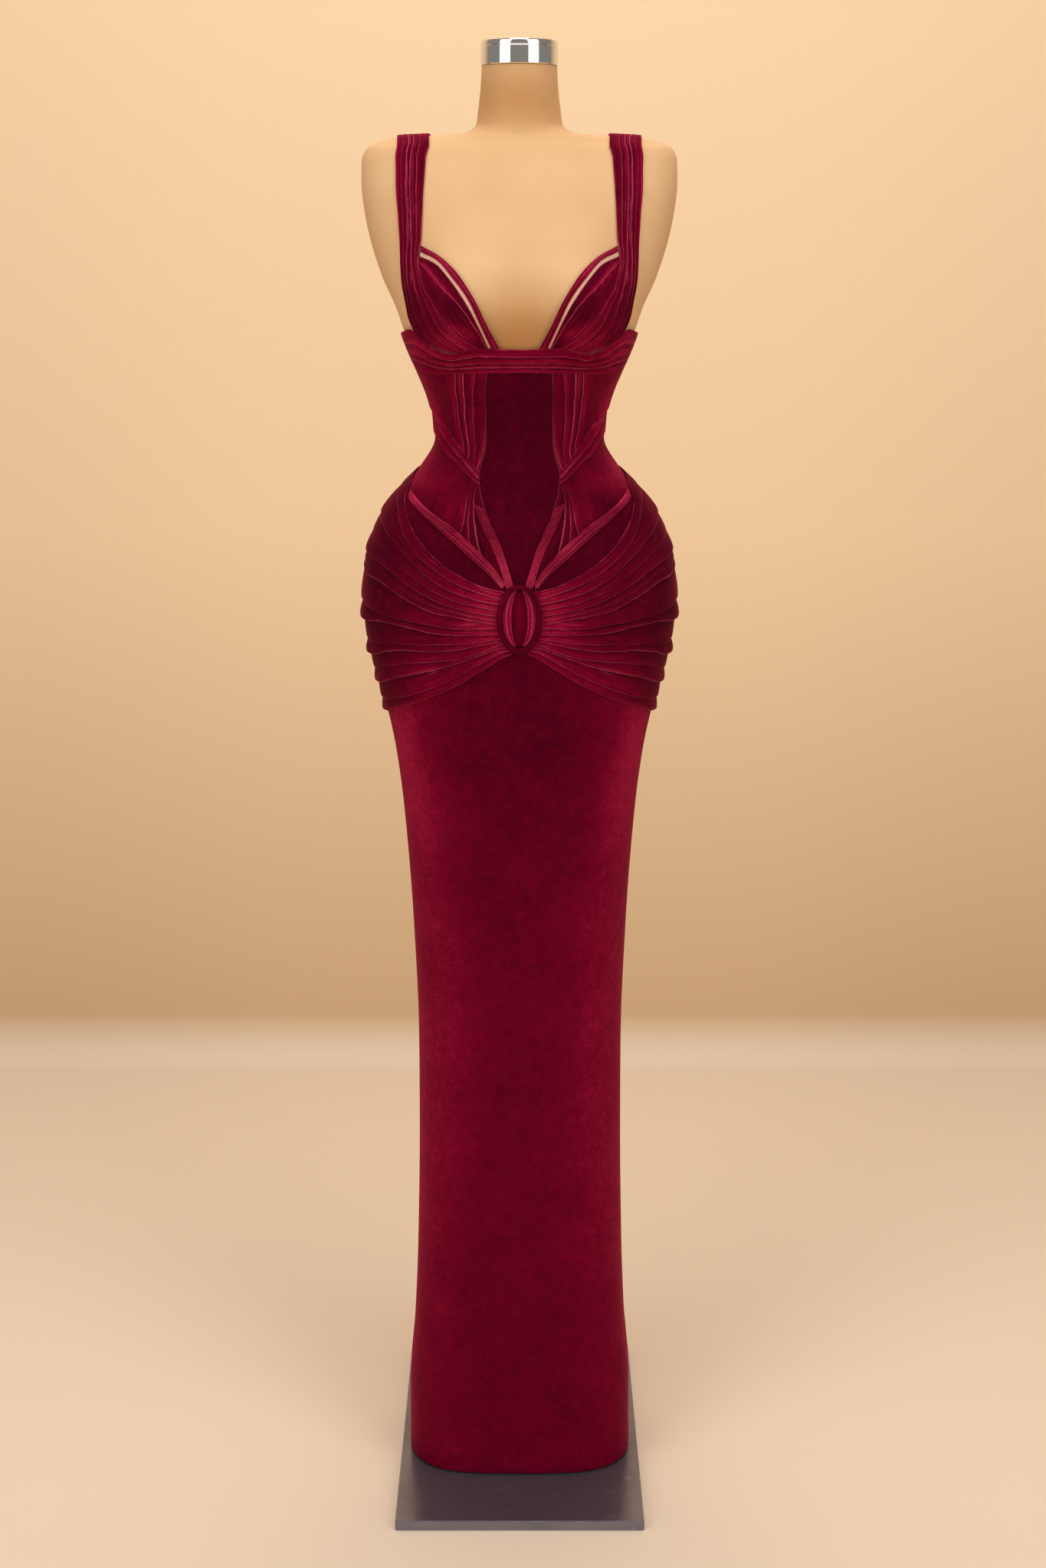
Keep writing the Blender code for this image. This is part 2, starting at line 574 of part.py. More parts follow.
def make_hip_drape(label, side):
    """Make the fan-pleated drape from the ring round the hip to the centre back."""
    turns = np.array(DRAPE_COLUMNS)
    lines = np.array([smooth(DRAPE_TURNS, row)(turns) for row in DRAPE])
    flat = np.clip((turns - DRAPE_TURNS[0]) / DRAPE_FLAT_TO, 0, 1)
    fade = np.clip((BACK_SEAM - turns) / DRAPE_FADE, DRAPE_LEAST, 1)
    heights, rises = [lines[-1]], [0 * turns]
    for low, high in zip(lines[:0:-1], lines[-2::-1]):
        rise = np.minimum(DRAPE_RISE, DRAPE_SLACK * (high - low)) * flat * fade
        heights += [high + (low - high) * DRAPE_CREST, high]
        rises += [rise, 0 * turns]
    height = np.array(heights)
    cloth(f"hip_drape_{label}", wall_grid(turns[None, :], height, OVER + np.array(rises)), side)


def narrow_band(steps, creases, rise):
    """Return the grid of a narrow folded band that runs in under the ring."""
    across, crests = fold_places(creases, 0.0)
    columns = [[getattr(step, field) for step in steps] for field in BandStep._fields]
    at = np.linspace(0, len(steps) - 1, 2 * len(steps) - 1)
    turn, height = lengthwise(columns, at, across)
    fade = np.clip(2 * at, 0, 1) * np.clip(0.8 * (at[-1] - 0.6 - at), 0, 1)
    return wall_grid(turn, height, OVER + rise * fade[:, None] * crests[None, :])


def make_bands(label, side):
    """Make the V strap and the rolled band on one side."""
    cloth(f"v_strap_{label}", narrow_band(V_STRAP, (0.5,), V_STRAP_RISE)[::-1], side)
    cloth(f"roll_band_{label}", narrow_band(ROLL_BAND, (0.5,), ROLL_RISE)[:, ::-1], side)


def front_point(x, height, off):
    """Return a point on the centre front from its place across and its height."""
    share = np.abs(x) / half_width_at(height)
    turn = np.degrees(np.arcsin(share ** (squareness_at(height) / 2))) * np.sign(x)
    return held_off(turn, height, off)


def make_ring():
    """Make the covered oval ring as a tube along an oval path."""
    angles = np.linspace(0, 2 * pi, 24, endpoint=False)
    path = front_point(RING_HALF_WIDTH * np.sin(angles), RING_HEIGHT + RING_HALF_HEIGHT * np.cos(angles),
                       RING_OFF)
    curve = bpy.data.curves.new("ring", "CURVE")
    curve.dimensions = "3D"
    curve.bevel_depth = RING_TUBE
    curve.bevel_resolution = 2
    spline = curve.splines.new("POLY")
    spline.points.add(len(path) - 1)
    for point, place in zip(spline.points, path):
        point.co = (*place, 1.0)
    spline.use_cyclic_u = True
    ring = bpy.data.objects.new("ring", curve)
    dress.objects.link(ring)
    curve.materials.append(new_material("velvet"))


def inside_half_width(up):
    """Return the half width of the space inside the ring at a share of its half height."""
    return INSIDE_HALF_WIDTH * np.sqrt(1 - up ** 2)


def make_ring_inside():
    """Make the padded knot and the gathers at its sides, inside the ring."""
    up = np.linspace(-INSIDE_REACH, INSIDE_REACH, 9)[:, None]
    knot = KNOT_HALF_WIDTH * np.sqrt(1 - up ** 2)
    across = np.array([-1, -0.86, -0.5, 0, 0.5, 0.86, 1])[None, :]
    height = RING_HEIGHT + INSIDE_HALF_HEIGHT * up
    arch = np.cos(0.5 * pi * up) * (np.abs(up) < INSIDE_REACH)
    middle = OVER + 0.5 * CLOTH
    knot_off = middle + KNOT_RISE * np.cos(0.5 * pi * across / 0.86) * (np.abs(across) < 0.8) * arch
    cloth("ring_knot", trimmed(front_point(knot * across, height, knot_off)))
    share, crest = (row[None, :] for row in fold_places((), 0.12))
    gather = knot + (inside_half_width(up) - knot) * share
    gather_off = middle + GATHER_RISE * crest * arch
    for label, side in SIDES:
        cloth(f"ring_gather_{label}", trimmed(front_point(gather, height, gather_off)), side)


def add_box(name, centre, size, finish, bevel=0.0):
    """Make a box with softened edges."""
    mesh = bpy.data.meshes.new(name)
    box = bmesh.new()
    bmesh.ops.create_cube(box, size=1.0)
    bmesh.ops.scale(box, vec=size, verts=box.verts)
    box.to_mesh(mesh)
    box.free()
    piece = add_object(name, mesh, finish)
    mesh.set_sharp_from_angle(angle=radians(35))
    piece.location = centre
    if bevel:
        rounding = piece.modifiers.new("rounding", "BEVEL")
        rounding.width = bevel
        rounding.segments = 1
    return piece


def use_cutter(piece, cutter, operation):
    """Join a cutter to a piece, or cut it away, and keep the cutter out of the model."""
    boolean = piece.modifiers.new(cutter.name, "BOOLEAN")
    boolean.operation = operation
    boolean.object = cutter
    dress.objects.unlink(cutter)
    cutters.objects.link(cutter)
    cutter.hide_render = True
    cutter.display_type = "WIRE"


def make_zip():
    """Make the closed centre-back zip: tape, slider with its bail, and hanging pull tab."""
    height = back_heights(BACK_SEAM, np.arange(1, BACK_ROWS - 1)[:, None])
    turn = BACK_SEAM + ZIP_TAPE_HALF_TURN * np.linspace(-1, 1, 3)[None, :]
    cloth("zip_tape", wall_grid(turn, height, ZIP_TAPE_EASE, ZIP_TAPE), thickness=ZIP_TAPE)
    back = held_off(BACK_SEAM, SLIDER_TOP, LINING_EASE + CLOTH + SLIDER_GAP)[1]
    face = back + SLIDER[1]
    slider = add_box("zip_slider", (0, back + 0.5 * SLIDER[1], SLIDER_TOP - 0.5 * SLIDER[2]), SLIDER,
                     "zip_metal", 0.0003)
    axis = (0, face + PULL_OFF_FACE, SLIDER_TOP - PULL_BELOW_TOP)
    bail_height = axis[2] + 2 * BAIL_WIRE - 0.5 * BAIL[2]
    bail = add_box("bail", (0, face + 0.5 * BAIL[1] - SLIDER_GAP, bail_height), BAIL, "zip_metal")
    hole_size = (2 * BAIL[0], BAIL[1] - SLIDER_GAP - BAIL_WIRE, BAIL[2] - 2 * BAIL_WIRE)
    hole = add_box("bail_hole", (0, face + 0.5 * hole_size[1], bail_height), hole_size, "zip_metal")
    use_cutter(slider, bail, "UNION")
    use_cutter(slider, hole, "DIFFERENCE")
    make_pull(axis)


def make_pull(axis):
    """Make the pull tab that hangs in the bail and swings about its own cross bar."""
    hinge = bpy.data.objects.new("pull_axis", None)
    hinge.location = axis
    dress.objects.link(hinge)
    bar = 0.5 * PULL[1]
    pull = add_box("zip_pull", (0, 0, bar - 0.5 * PULL[2]), PULL, "zip_metal")
    eye_size = (PULL[0] - 2 * PULL_ARM, 2 * PULL[1], PULL_EYE_HEIGHT)
    eye = add_box("pull_eye", (0, 0, -bar - 0.5 * PULL_EYE_HEIGHT), eye_size, "zip_metal")
    use_cutter(pull, eye, "DIFFERENCE")
    for piece in (pull, eye):
        piece.parent = hinge


def form_heights():
    """Return the heights of the form's rings, closer together where it curves most."""
    spans = [np.linspace(low, high, count, endpoint=False) for low, high, count in FORM_SPANS]
    return np.concatenate([*spans, FORM_SHOULDER, [FORM_TOP]])


def make_form():
    """Make the closed torso with its neck, as a loft through the figure's sections."""
    heights = form_heights()
    turns = np.arange(0, 360, FORM_STEP)
    shows = np.clip((heights - FORM_SHOWS_FROM) / FORM_BLEND + 1, 0, 1)
    ease = FORM_EASE + (FORM_SHOWN_EASE - FORM_EASE) * shows
    rings = held_off(turns[None, :], heights[:, None], ease[:, None])
    body = bmesh.new()
    loops = [[body.verts.new(p) for p in ring] for ring in rings]
    for low, high in zip(loops, loops[1:]):
        for i, start in enumerate(low):
            after = (i + 1) % len(low)
            body.faces.new((start, low[after], high[after], high[i]))
    body.faces.new(loops[0][::-1])
    body.faces.new(loops[-1])
    mesh = bpy.data.meshes.new("form_torso")
    body.to_mesh(mesh)
    body.free()
    add_object("form_torso", mesh, "form_cover")
    mesh.set_sharp_from_angle(angle=radians(50))


def turned(name, profile, finish, steps):
    """Make a turned piece from its profile, listed from the top down."""
    mesh = bpy.data.meshes.new(name)
    points = [(radius, 0.0, height) for radius, height in profile]
    mesh.from_pydata(points, [(i, i + 1) for i in range(len(points) - 1)], [])
    piece = add_object(name, mesh, finish)
    screw = piece.modifiers.new("turn", "SCREW")
    screw.steps = steps
    screw.render_steps = steps
    screw.use_merge_vertices = True
    screw.merge_threshold = 0.00001
    screw.use_smooth_shade = True
    return piece


def make_stand():
    """Make the neck cap, the pole with its foot and the base plate."""
    low = FORM_TOP + SEAM
    high = low + CAP_HEIGHT
    turned("neck_cap", [(0, high), (CAP_RADIUS - CAP_EDGE, high),
                        (CAP_RADIUS - 0.3 * CAP_EDGE, high - 0.3 * CAP_EDGE),
                        (CAP_RADIUS, high - CAP_EDGE), (CAP_RADIUS, low), (0, low)], "chrome", 24)
    floor = PLATE[2] + SEAM
    foot = floor + POLE_FOOT_HEIGHT
    turned("pole", [(0, FORM_BOTTOM - SEAM), (POLE_RADIUS, FORM_BOTTOM - SEAM), (POLE_RADIUS, foot),
                    (POLE_FOOT_RADIUS, foot), (POLE_FOOT_RADIUS, floor), (0, floor)], "steel", 20)
    add_box("base_plate", (0, 0, 0.5 * PLATE[2]), PLATE, "steel", PLATE_BEVEL)


for old in list(bpy.data.objects):
    bpy.data.objects.remove(old, do_unlink=True)
dress = bpy.data.collections.new("evening_dress_on_form")
cutters = bpy.data.collections.new("cutters")
bpy.context.scene.collection.children.link(dress)
bpy.context.scene.collection.children.link(cutters)

make_stand()
make_form()
make_skirt()
make_centre_front()
make_bust_band()
for side_label, side_sign in SIDES:
    make_side_front(side_label, side_sign)
    make_waist_wrap(side_label, side_sign)
    make_hip_yoke(side_label, side_sign)
    make_back(side_label, side_sign)
    make_cup(side_label, side_sign)
    make_strap(side_label, side_sign)
    make_hip_drape(side_label, side_sign)
    make_bands(side_label, side_sign)
make_ring()
make_ring_inside()
make_zip()
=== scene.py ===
"""Looks of a fitted velvet evening dress on a limbless dress form with a steel base plate.

The figure is a stack of rounded sections. A place on it is given by its turn, in degrees
round from the centre front towards the side, and its height above the floor. The front
looks along -Y, and the pieces named left are on the wearer's left, at +X.
"""

import logging
from dataclasses import dataclass
from enum import Enum
from functools import reduce
from math import pi, radians
from typing import Callable, Sequence

import bpy
import numpy as np
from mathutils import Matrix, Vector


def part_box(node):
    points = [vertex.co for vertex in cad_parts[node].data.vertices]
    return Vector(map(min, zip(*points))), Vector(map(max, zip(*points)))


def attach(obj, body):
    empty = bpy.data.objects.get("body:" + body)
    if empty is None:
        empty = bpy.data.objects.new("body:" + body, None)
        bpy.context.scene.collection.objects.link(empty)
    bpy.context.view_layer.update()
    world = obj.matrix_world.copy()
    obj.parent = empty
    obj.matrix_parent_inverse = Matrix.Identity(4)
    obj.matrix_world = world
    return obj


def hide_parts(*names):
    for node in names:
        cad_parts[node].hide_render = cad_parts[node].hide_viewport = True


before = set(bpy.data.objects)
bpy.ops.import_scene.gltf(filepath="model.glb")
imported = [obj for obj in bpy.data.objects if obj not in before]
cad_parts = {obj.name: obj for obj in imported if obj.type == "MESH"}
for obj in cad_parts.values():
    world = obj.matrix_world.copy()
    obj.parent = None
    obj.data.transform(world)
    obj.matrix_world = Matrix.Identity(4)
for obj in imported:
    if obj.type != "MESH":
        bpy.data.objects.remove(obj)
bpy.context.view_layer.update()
LOG = logging.getLogger("evening_dress")
GOWN = "gown"

# Walls of cloth, in metres off the figure
LINING_EASE = 0.0016
CLOTH = 0.0014
LAYER_EASE = 0.0009
BASE_OFF = LINING_EASE + CLOTH
OVER_OFF = BASE_OFF + LAYER_EASE + CLOTH
EDGE_SOFTNESS = 0.0008
# Shares that soften an edge: of the grid's step beside it at most, and of the wall at its rim
MOST_OF_STEP = 0.4
RIM_SHARE = 0.36
# Least width that a cut is declared with; the net inserts show about half of it
# Seams, in metres above the floor and degrees round from the centre front
HIP_SEAM = 1.075
SIDE_SEAM = 90.0
BACK_SEAM = 180.0
# A colour's red, green and blue, and rows of numbers
Colour = tuple[float, float, float]
Rows = Sequence[Sequence[float]]


class Side(Enum):
    """The wearer's side that a piece is on, with its direction along X."""

    LEFT = 1.0
    RIGHT = -1.0

    @property
    def label(self) -> str:
        """Return the side's name as used in piece names."""
        return self.name.lower()


class Hold(Enum):
    """How a piece of cloth is held."""

    STRETCHED = "stretched"
    GATHERED = "gathered"
    HUNG = "hung"


class Smooth:
    """A smooth curve through given values that never overshoots them."""

    def __init__(self, places: Sequence[float], values: Sequence[float]) -> None:
        """Prepare the slopes of the curve.

        Args:
            places: Rising places of the known values.
            values: The value at each place.
        """
        self.x = np.asarray(places, float)
        self.y = np.asarray(values, float)
        self.step = np.diff(self.x)
        rise = np.diff(self.y) / self.step
        self.slope = np.zeros_like(self.y)
        self.slope[0], self.slope[-1] = rise[0], rise[-1]
        for i in range(1, len(self.x) - 1):
            if rise[i - 1] * rise[i] > 0:
                before = 2 * self.step[i] + self.step[i - 1]
                after = self.step[i] + 2 * self.step[i - 1]
                self.slope[i] = (before + after) / (before / rise[i - 1] + after / rise[i])

    def __call__(self, at: np.ndarray | float) -> np.ndarray:
        """Return the curve's values.

        Args:
            at: Places to read, held to the curve's ends.

        Returns:
            The value at each place.
        """
        at = np.clip(np.asarray(at, float), self.x[0], self.x[-1])
        i = np.clip(np.searchsorted(self.x, at, side="right") - 1, 0, len(self.step) - 1)
        t = (at - self.x[i]) / self.step[i]
        keep = (1 + 2 * t) * (1 - t) ** 2 * self.y[i] + t * t * (3 - 2 * t) * self.y[i + 1]
        lean = (1 - t) * self.slope[i] - t * self.slope[i + 1]
        return keep + self.step[i] * t * (1 - t) * lean


def placed(name: str, data: bpy.types.ID) -> bpy.types.Object:
    """Return a new object of the scene that holds some data."""
    made = bpy.data.objects.new(name, data)
    bpy.context.scene.collection.objects.link(made)
    return made


def eased(at: np.ndarray, end: float, first: float, last: float) -> np.ndarray:
    """Return 1 along a line, falling to 0 at its start and at its end.

    Args:
        at: Places along the line, which starts at 0.
        end: Place where the line ends.
        first: Steepness of the rise from its start.
        last: Steepness of the fall to its end.

    Returns:
        The share at each place.
    """
    return np.clip(first * at, 0, 1) * np.clip(last * (end - at), 0, 1)


def read_steps(steps: Sequence[object], at: np.ndarray, *names: str) -> list[np.ndarray]:
    """Return named fields of a row of steps, read smoothly at places along the row."""
    return [Smooth(range(len(steps)), [getattr(step, name) for step in steps])(at) for name in names]


@dataclass(frozen=True)
class Section:
    """One level of the figure; squareness 2 is an ellipse, and more is squarer."""

    height: float
    half_width: float
    front: float
    back: float
    squareness: float


@dataclass(frozen=True)
class CupMound:
    """The rounding of each cup's place on the chest."""

    across: float = 0.066
    height: float = 1.432
    radius: float = 0.046
    rise: float = 0.022


SECTIONS = tuple(Section(*row) for row in (
    (0.020, 0.1370, 0.1095, 0.1100, 3.60),
    (0.110, 0.1360, 0.107, 0.109, 3.50),
    (0.190, 0.1295, 0.103, 0.106, 3.20),
    (0.300, 0.1247, 0.099, 0.103, 2.80),
    (0.450, 0.1217, 0.096, 0.099, 2.50),
    (0.560, 0.1211, 0.095, 0.098, 2.30),
    (0.700, 0.1252, 0.094, 0.099, 2.30),
    (0.850, 0.1347, 0.096, 0.105, 2.30),
    (0.925, 0.1437, 0.098, 0.111, 2.30),
    (1.000, 0.1595, 0.100, 0.119, 2.30),
    (1.050, 0.1710, 0.101, 0.124, 2.30),
    (1.100, 0.1770, 0.100, 0.125, 2.30),
    (1.145, 0.1735, 0.097, 0.121, 2.30),
    (1.180, 0.1635, 0.093, 0.114, 2.30),
    (1.216, 0.1420, 0.088, 0.101, 2.30),
    (1.250, 0.1120, 0.082, 0.086, 2.25),
    (1.286, 0.0935, 0.077, 0.073, 2.20),
    (1.320, 0.0975, 0.079, 0.071, 2.20),
    (1.355, 0.1115, 0.086, 0.074, 2.25),
    (1.389, 0.1260, 0.094, 0.080, 2.30),
    (1.431, 0.1405, 0.100, 0.088, 2.30),
    (1.465, 0.1555, 0.098, 0.092, 2.30),
    (1.498, 0.1650, 0.090, 0.094, 2.30),
    (1.531, 0.1720, 0.080, 0.092, 2.30),
    (1.564, 0.1755, 0.069, 0.085, 2.30),
    (1.588, 0.1747, 0.060, 0.076, 2.30),
    (1.600, 0.1700, 0.055, 0.069, 2.30),
    (1.6085, 0.1560, 0.050, 0.063, 2.20),
    (1.6131, 0.1340, 0.0475, 0.0590, 2.10),
    (1.6149, 0.0985, 0.0462, 0.0560, 2.05),
    (1.6185, 0.0600, 0.0452, 0.0525, 2.00),
    (1.6270, 0.0480, 0.0440, 0.0485, 2.00),
    (1.640, 0.0460, 0.0430, 0.0455, 2.00),
    (1.665, 0.0430, 0.0415, 0.0415, 2.00),
    (1.700, 0.0410, 0.0410, 0.0410, 2.00),
))


@dataclass
class Figure:
    """The general figure that carries the cloth, as sections from the floor up."""

    sections: tuple[Section, ...] = SECTIONS
    mound: CupMound = CupMound()
    shoulder: tuple[float, float] = (1.590, 1.640)
    halvings: int = 30

    def __post_init__(self) -> None:
        """Make the smooth curves through the sections."""
        heights = [section.height for section in self.sections]
        self.half_width, self.front, self.back, self.squareness = (
            Smooth(heights, [getattr(section, name) for section in self.sections])
            for name in ("half_width", "front", "back", "squareness"))

    def point(self, turn: np.ndarray, height: np.ndarray) -> np.ndarray:
        """Return points of the bare figure.

        Args:
            turn: Degrees round from the centre front.
            height: Heights above the floor.

        Returns:
            Points, with x, y and z along the last axis.
        """
        angle = np.radians(turn)
        s, c = np.sin(angle), np.cos(angle)
        power = 2 / self.squareness(height)
        depth = np.where(c >= 0, self.front(height), self.back(height))
        x = self.half_width(height) * np.sign(s) * np.abs(s) ** power
        y = -depth * np.sign(c) * np.abs(c) ** power
        away = ((np.abs(x) - self.mound.across) ** 2 + (height - self.mound.height) ** 2)
        y = y - self.mound.rise * np.exp(-away / self.mound.radius ** 2) * np.sqrt(np.clip(c, 0, 1))
        return np.stack([x, y, height + 0 * x], -1)

    def held_off(self, turn: np.ndarray, height: np.ndarray, off: np.ndarray | float) -> np.ndarray:
        """Return points moved out from the figure, square to its surface.

        Args:
            turn: Degrees round from the centre front.
            height: Heights above the floor.
            off: Distance out from the figure.

        Returns:
            Points, with x, y and z along the last axis.
        """
        turn, height, off = np.broadcast_arrays(*(np.asarray(v, float) for v in (turn, height, off)))
        small_turn, small_height = 0.02, 0.0001
        round_way = self.point(turn + small_turn, height) - self.point(turn - small_turn, height)
        up_way = self.point(turn, height + small_height) - self.point(turn, height - small_height)
        out = np.cross(round_way, up_way)
        out /= np.linalg.norm(out, axis=-1, keepdims=True)
        return self.point(turn, height) + off[..., None] * out

    def turn_at(self, x: np.ndarray, height: np.ndarray) -> np.ndarray:
        """Return the front turn of places given across, by their x and height."""
        share = np.clip(np.abs(x) / self.half_width(height), 0, 1)
        return np.degrees(np.arcsin(share ** (self.squareness(height) / 2))) * np.sign(x)

    def shoulder_height(self, turn: np.ndarray, reach: np.ndarray) -> np.ndarray:
        """Return heights on the shoulder, found by halving the span that holds them.

        Args:
            turn: Degrees round from the centre front.
            reach: Distances from the middle, across.

        Returns:
            The height at each place.
        """
        low, high = (level + 0 * reach for level in self.shoulder)
        for _ in range(self.halvings):
            middle = 0.5 * (low + high)
            outside = self.point(turn, middle)[..., 0] > reach
            low, high = np.where(outside, middle, low), np.where(outside, high, middle)
        return low


FIGURE = Figure()


class Edges:
    """Lines on the figure that more than one piece meets at."""

    BAND_TOP = Smooth((0, 7.5, 18.5, 26, 34, 42, 49, 57, 62, 75, 90),
                      (1.3890, 1.3898, 1.3910, 1.3880, 1.3845, 1.3880, 1.3940, 1.4060, 1.4090, 1.4055,
                       1.4030))
    BAND_BOTTOM = Smooth((0, 31, 56, 70, 90), (1.3640, 1.3630, 1.3610, 1.3640, 1.3720))
    BACK_TOP = Smooth((90, 120, 180), (1.4030, 1.4045, 1.4120))
    WRAP_TOP = Smooth((15, 22, 36, 49, 57, 66, 90), (1.2490, 1.2550, 1.2730, 1.2903, 1.3052, 1.3380, 1.3520))
    WRAP_FOLD = Smooth((15, 20, 35, 49, 64, 71, 90), (1.2430, 1.2467, 1.2645, 1.2775, 1.2930, 1.3100, 1.3240))
    WRAP_BOTTOM = Smooth((15, 18.5, 28.5, 40, 54, 73, 90),
                         (1.2375, 1.2400, 1.2507, 1.2624, 1.2715, 1.2860, 1.2960))
    TONGUE = Smooth((1.0750, 1.1320, 1.1510, 1.1750, 1.2010, 1.2140, 1.2340, 1.2550, 1.2990, 1.3300, 1.3640),
                    (4.0, 4.0, 4.6, 7.0, 11.0, 12.5, 17.0, 21.0, 20.2, 19.0, 15.0))
    CUP_SEAM = ((39.5, 39.5, 36.5, 32.0, 26.5, 18.5), (1.4780, 1.4560, 1.4350, 1.4180, 1.4035, 1.3912))
    CUP_TOP = ((38.3, 31.0, 25.6, 21.2, 17.2, 12.6), (1.4860, 1.4780, 1.4620, 1.4420, 1.4195, 1.3908))
    MESH_TOP = ((37.4, 30.0, 24.0, 19.5, 15.6, 11.4), (1.4910, 1.4820, 1.4630, 1.4440, 1.4185, 1.3908))
    NECK_EDGE = ((36.9, 28.4, 21.6, 16.8, 12.3, 7.5), (1.4975, 1.4858, 1.4678, 1.4440, 1.4150, 1.3900))


@dataclass(frozen=True)
class Spot:
    """A place of more painted light, or of less where its amount is negative; on the form cover, a place of
    more painted shade.
    """

    turn: float
    height: float
    half_turn: float
    half_height: float
    amount: float


@dataclass(frozen=True)
class Nap:
    """Painted light over a piece, from 0 to 1: on the velvet, the painted sheen of its brushed pile from dark
    to bright; on the form cover, its painted shade.
    """

    base: float = 0.3
    spots: tuple[Spot, ...] = ()

    def over(self, turn: np.ndarray, height: np.ndarray) -> np.ndarray:
        """Return the painted light at places.

        Args:
            turn: Degrees round from the centre front.
            height: Heights above the floor.

        Returns:
            The painted light at each place.
        """
        bright = self.base + 0 * turn * height
        for s in self.spots:
            away = ((np.abs(turn) - s.turn) / s.half_turn) ** 2 + ((height - s.height) / s.half_height) ** 2
            bright = bright + s.amount * np.exp(-away)
        return np.clip(bright, 0, 1)


def ripple(turn: np.ndarray, height: np.ndarray, seed: int, turns: float, heights: float) -> np.ndarray:
    """Return soft uneven waves between -1 and 1 that are the same on each run.

    Args:
        turn: Degrees round from the centre front.
        height: Heights above the floor.
        seed: Choice of the waves.
        turns: Rough length of a wave round the figure, in degrees.
        heights: Rough length of a wave upwards, in metres.

    Returns:
        The wave's value at each place.
    """
    waves, spread = 6, 1.4
    chance = np.random.default_rng(seed)
    value = 0 * (turn + height)
    for _ in range(waves):
        across, up = chance.uniform(0.5, 1.6, 2) * chance.choice([-1, 1], 2)
        value = value + np.sin(2 * pi * (across * turn / turns + up * height / heights + chance.uniform()))
    return value / waves ** 0.5 / spread


@dataclass
class Patch:
    """A grid of places on the figure with what the cloth's finish needs to know at each."""

    turn: np.ndarray
    height: np.ndarray
    off: np.ndarray
    # Painted sheen and shade of the pile
    nap: np.ndarray
    fold: np.ndarray
    fold_width: np.ndarray
    along: np.ndarray
    glow: np.ndarray
    overlap: np.ndarray

    NAMES = ("turn", "height", "off", "nap", "fold", "fold_width", "along", "glow", "overlap")

    def points(self) -> np.ndarray:
        """Return the outer face's points."""
        return FIGURE.held_off(self.turn, self.height, self.off)

    def with_soft_edges(self, softness: float) -> "Patch":
        """Return the patch with a line of places added just inside each edge.

        Args:
            softness: Distance of the added lines from the edge.

        Returns:
            The finer patch.
        """
        fields = {name: getattr(self, name) for name in self.NAMES}
        points = self.points()
        for axis in (0, 1):
            count = points.shape[axis]
            steps = np.linalg.norm(np.diff(points, axis=axis), axis=-1)
            low, high = (float(np.take(steps, i, axis).mean()) for i in (0, -1))
            in_low, in_high = (min(MOST_OF_STEP, softness / step) for step in (low, high))
            places = np.array([0, in_low, *range(1, count - 1), count - 1 - in_high, count - 1])
            below = np.minimum(places.astype(int), count - 2)
            share = places - below
            share = share[:, None] if axis == 0 else share[None, :]
            for name, values in fields.items():
                first = np.take(values, below, axis)
                fields[name] = first + (np.take(values, below + 1, axis) - first) * share
            points = FIGURE.held_off(fields["turn"], fields["height"], fields["off"])
        return Patch(**fields)


@dataclass
class Creases:
    """The edges and creases of a piece, in order across it, each given along its length.

    All fields are grids of lines by stations. The glow is the brightness of the painted highlight
    along the line, and the rise is how far the fold that starts at the line stands out.
    """

    turn: np.ndarray
    height: np.ndarray
    glow: np.ndarray
    rise: np.ndarray


@dataclass(frozen=True)
class FoldShape:
    """The section of a fold: a quick rise at its lip, and a slow fall under the next fold."""

    lip: float = 0.0022
    slack: float = 0.30
    shares: tuple[float, ...] = (0.0, 0.045, 0.10, 0.17, 0.26, 0.38, 0.54, 0.72, 0.87)

    def rise(self, share: np.ndarray, width: np.ndarray) -> np.ndarray:
        """Return the share of a fold's full rise.

        Args:
            share: Place across the fold, from 0 at its lip to 1.
            width: Width of the fold.

        Returns:
            The share of the rise at each place.
        """
        crest = np.clip(self.lip / np.maximum(width, 1e-5), 0.12, 0.42)
        up = np.clip(share / crest, 0, 1)
        down = np.clip((share - crest) / (1 - crest), 0, 1)
        return np.where(share < crest, up * up * (3 - 2 * up), np.cos(0.5 * pi * down) ** 1.25)

    def patch(self, creases: Creases, off: float, nap: Nap) -> Patch:
        """Return the folded surface between a piece's creases.

        Args:
            creases: The lines across the piece.
            off: Distance of the flat cloth's outer face from the figure.
            nap: Painted sheen and shade of the pile.

        Returns:
            The grid, with its rows across the piece and its columns along it.
        """
        flat = FIGURE.held_off(creases.turn, creases.height, off)
        widths = np.linalg.norm(np.diff(flat, axis=0), axis=-1)
        count, per_fold = len(widths), len(self.shares)
        index = np.append(np.repeat(np.arange(count), per_fold), count - 1)
        share = np.append(np.tile(self.shares, count), 1.0)[:, None]
        width = widths[index]

        def between(grid: np.ndarray) -> np.ndarray:
            """Return a grid read between its lines."""
            return grid[index] * (1 - share) + grid[index + 1] * share

        turn, height = between(creases.turn), between(creases.height)
        along = np.zeros_like(creases.turn)
        along[:, 1:] = np.linalg.norm(np.diff(flat, axis=1), axis=-1).cumsum(1)
        rise = np.minimum(creases.rise[index], self.slack * width)
        return Patch(turn, height, off + rise * self.rise(share, width), nap.over(turn, height),
                     index[:, None] + share + 0 * turn, width, between(along), between(creases.glow),
                     (index < count - 1)[:, None] + 0 * turn)


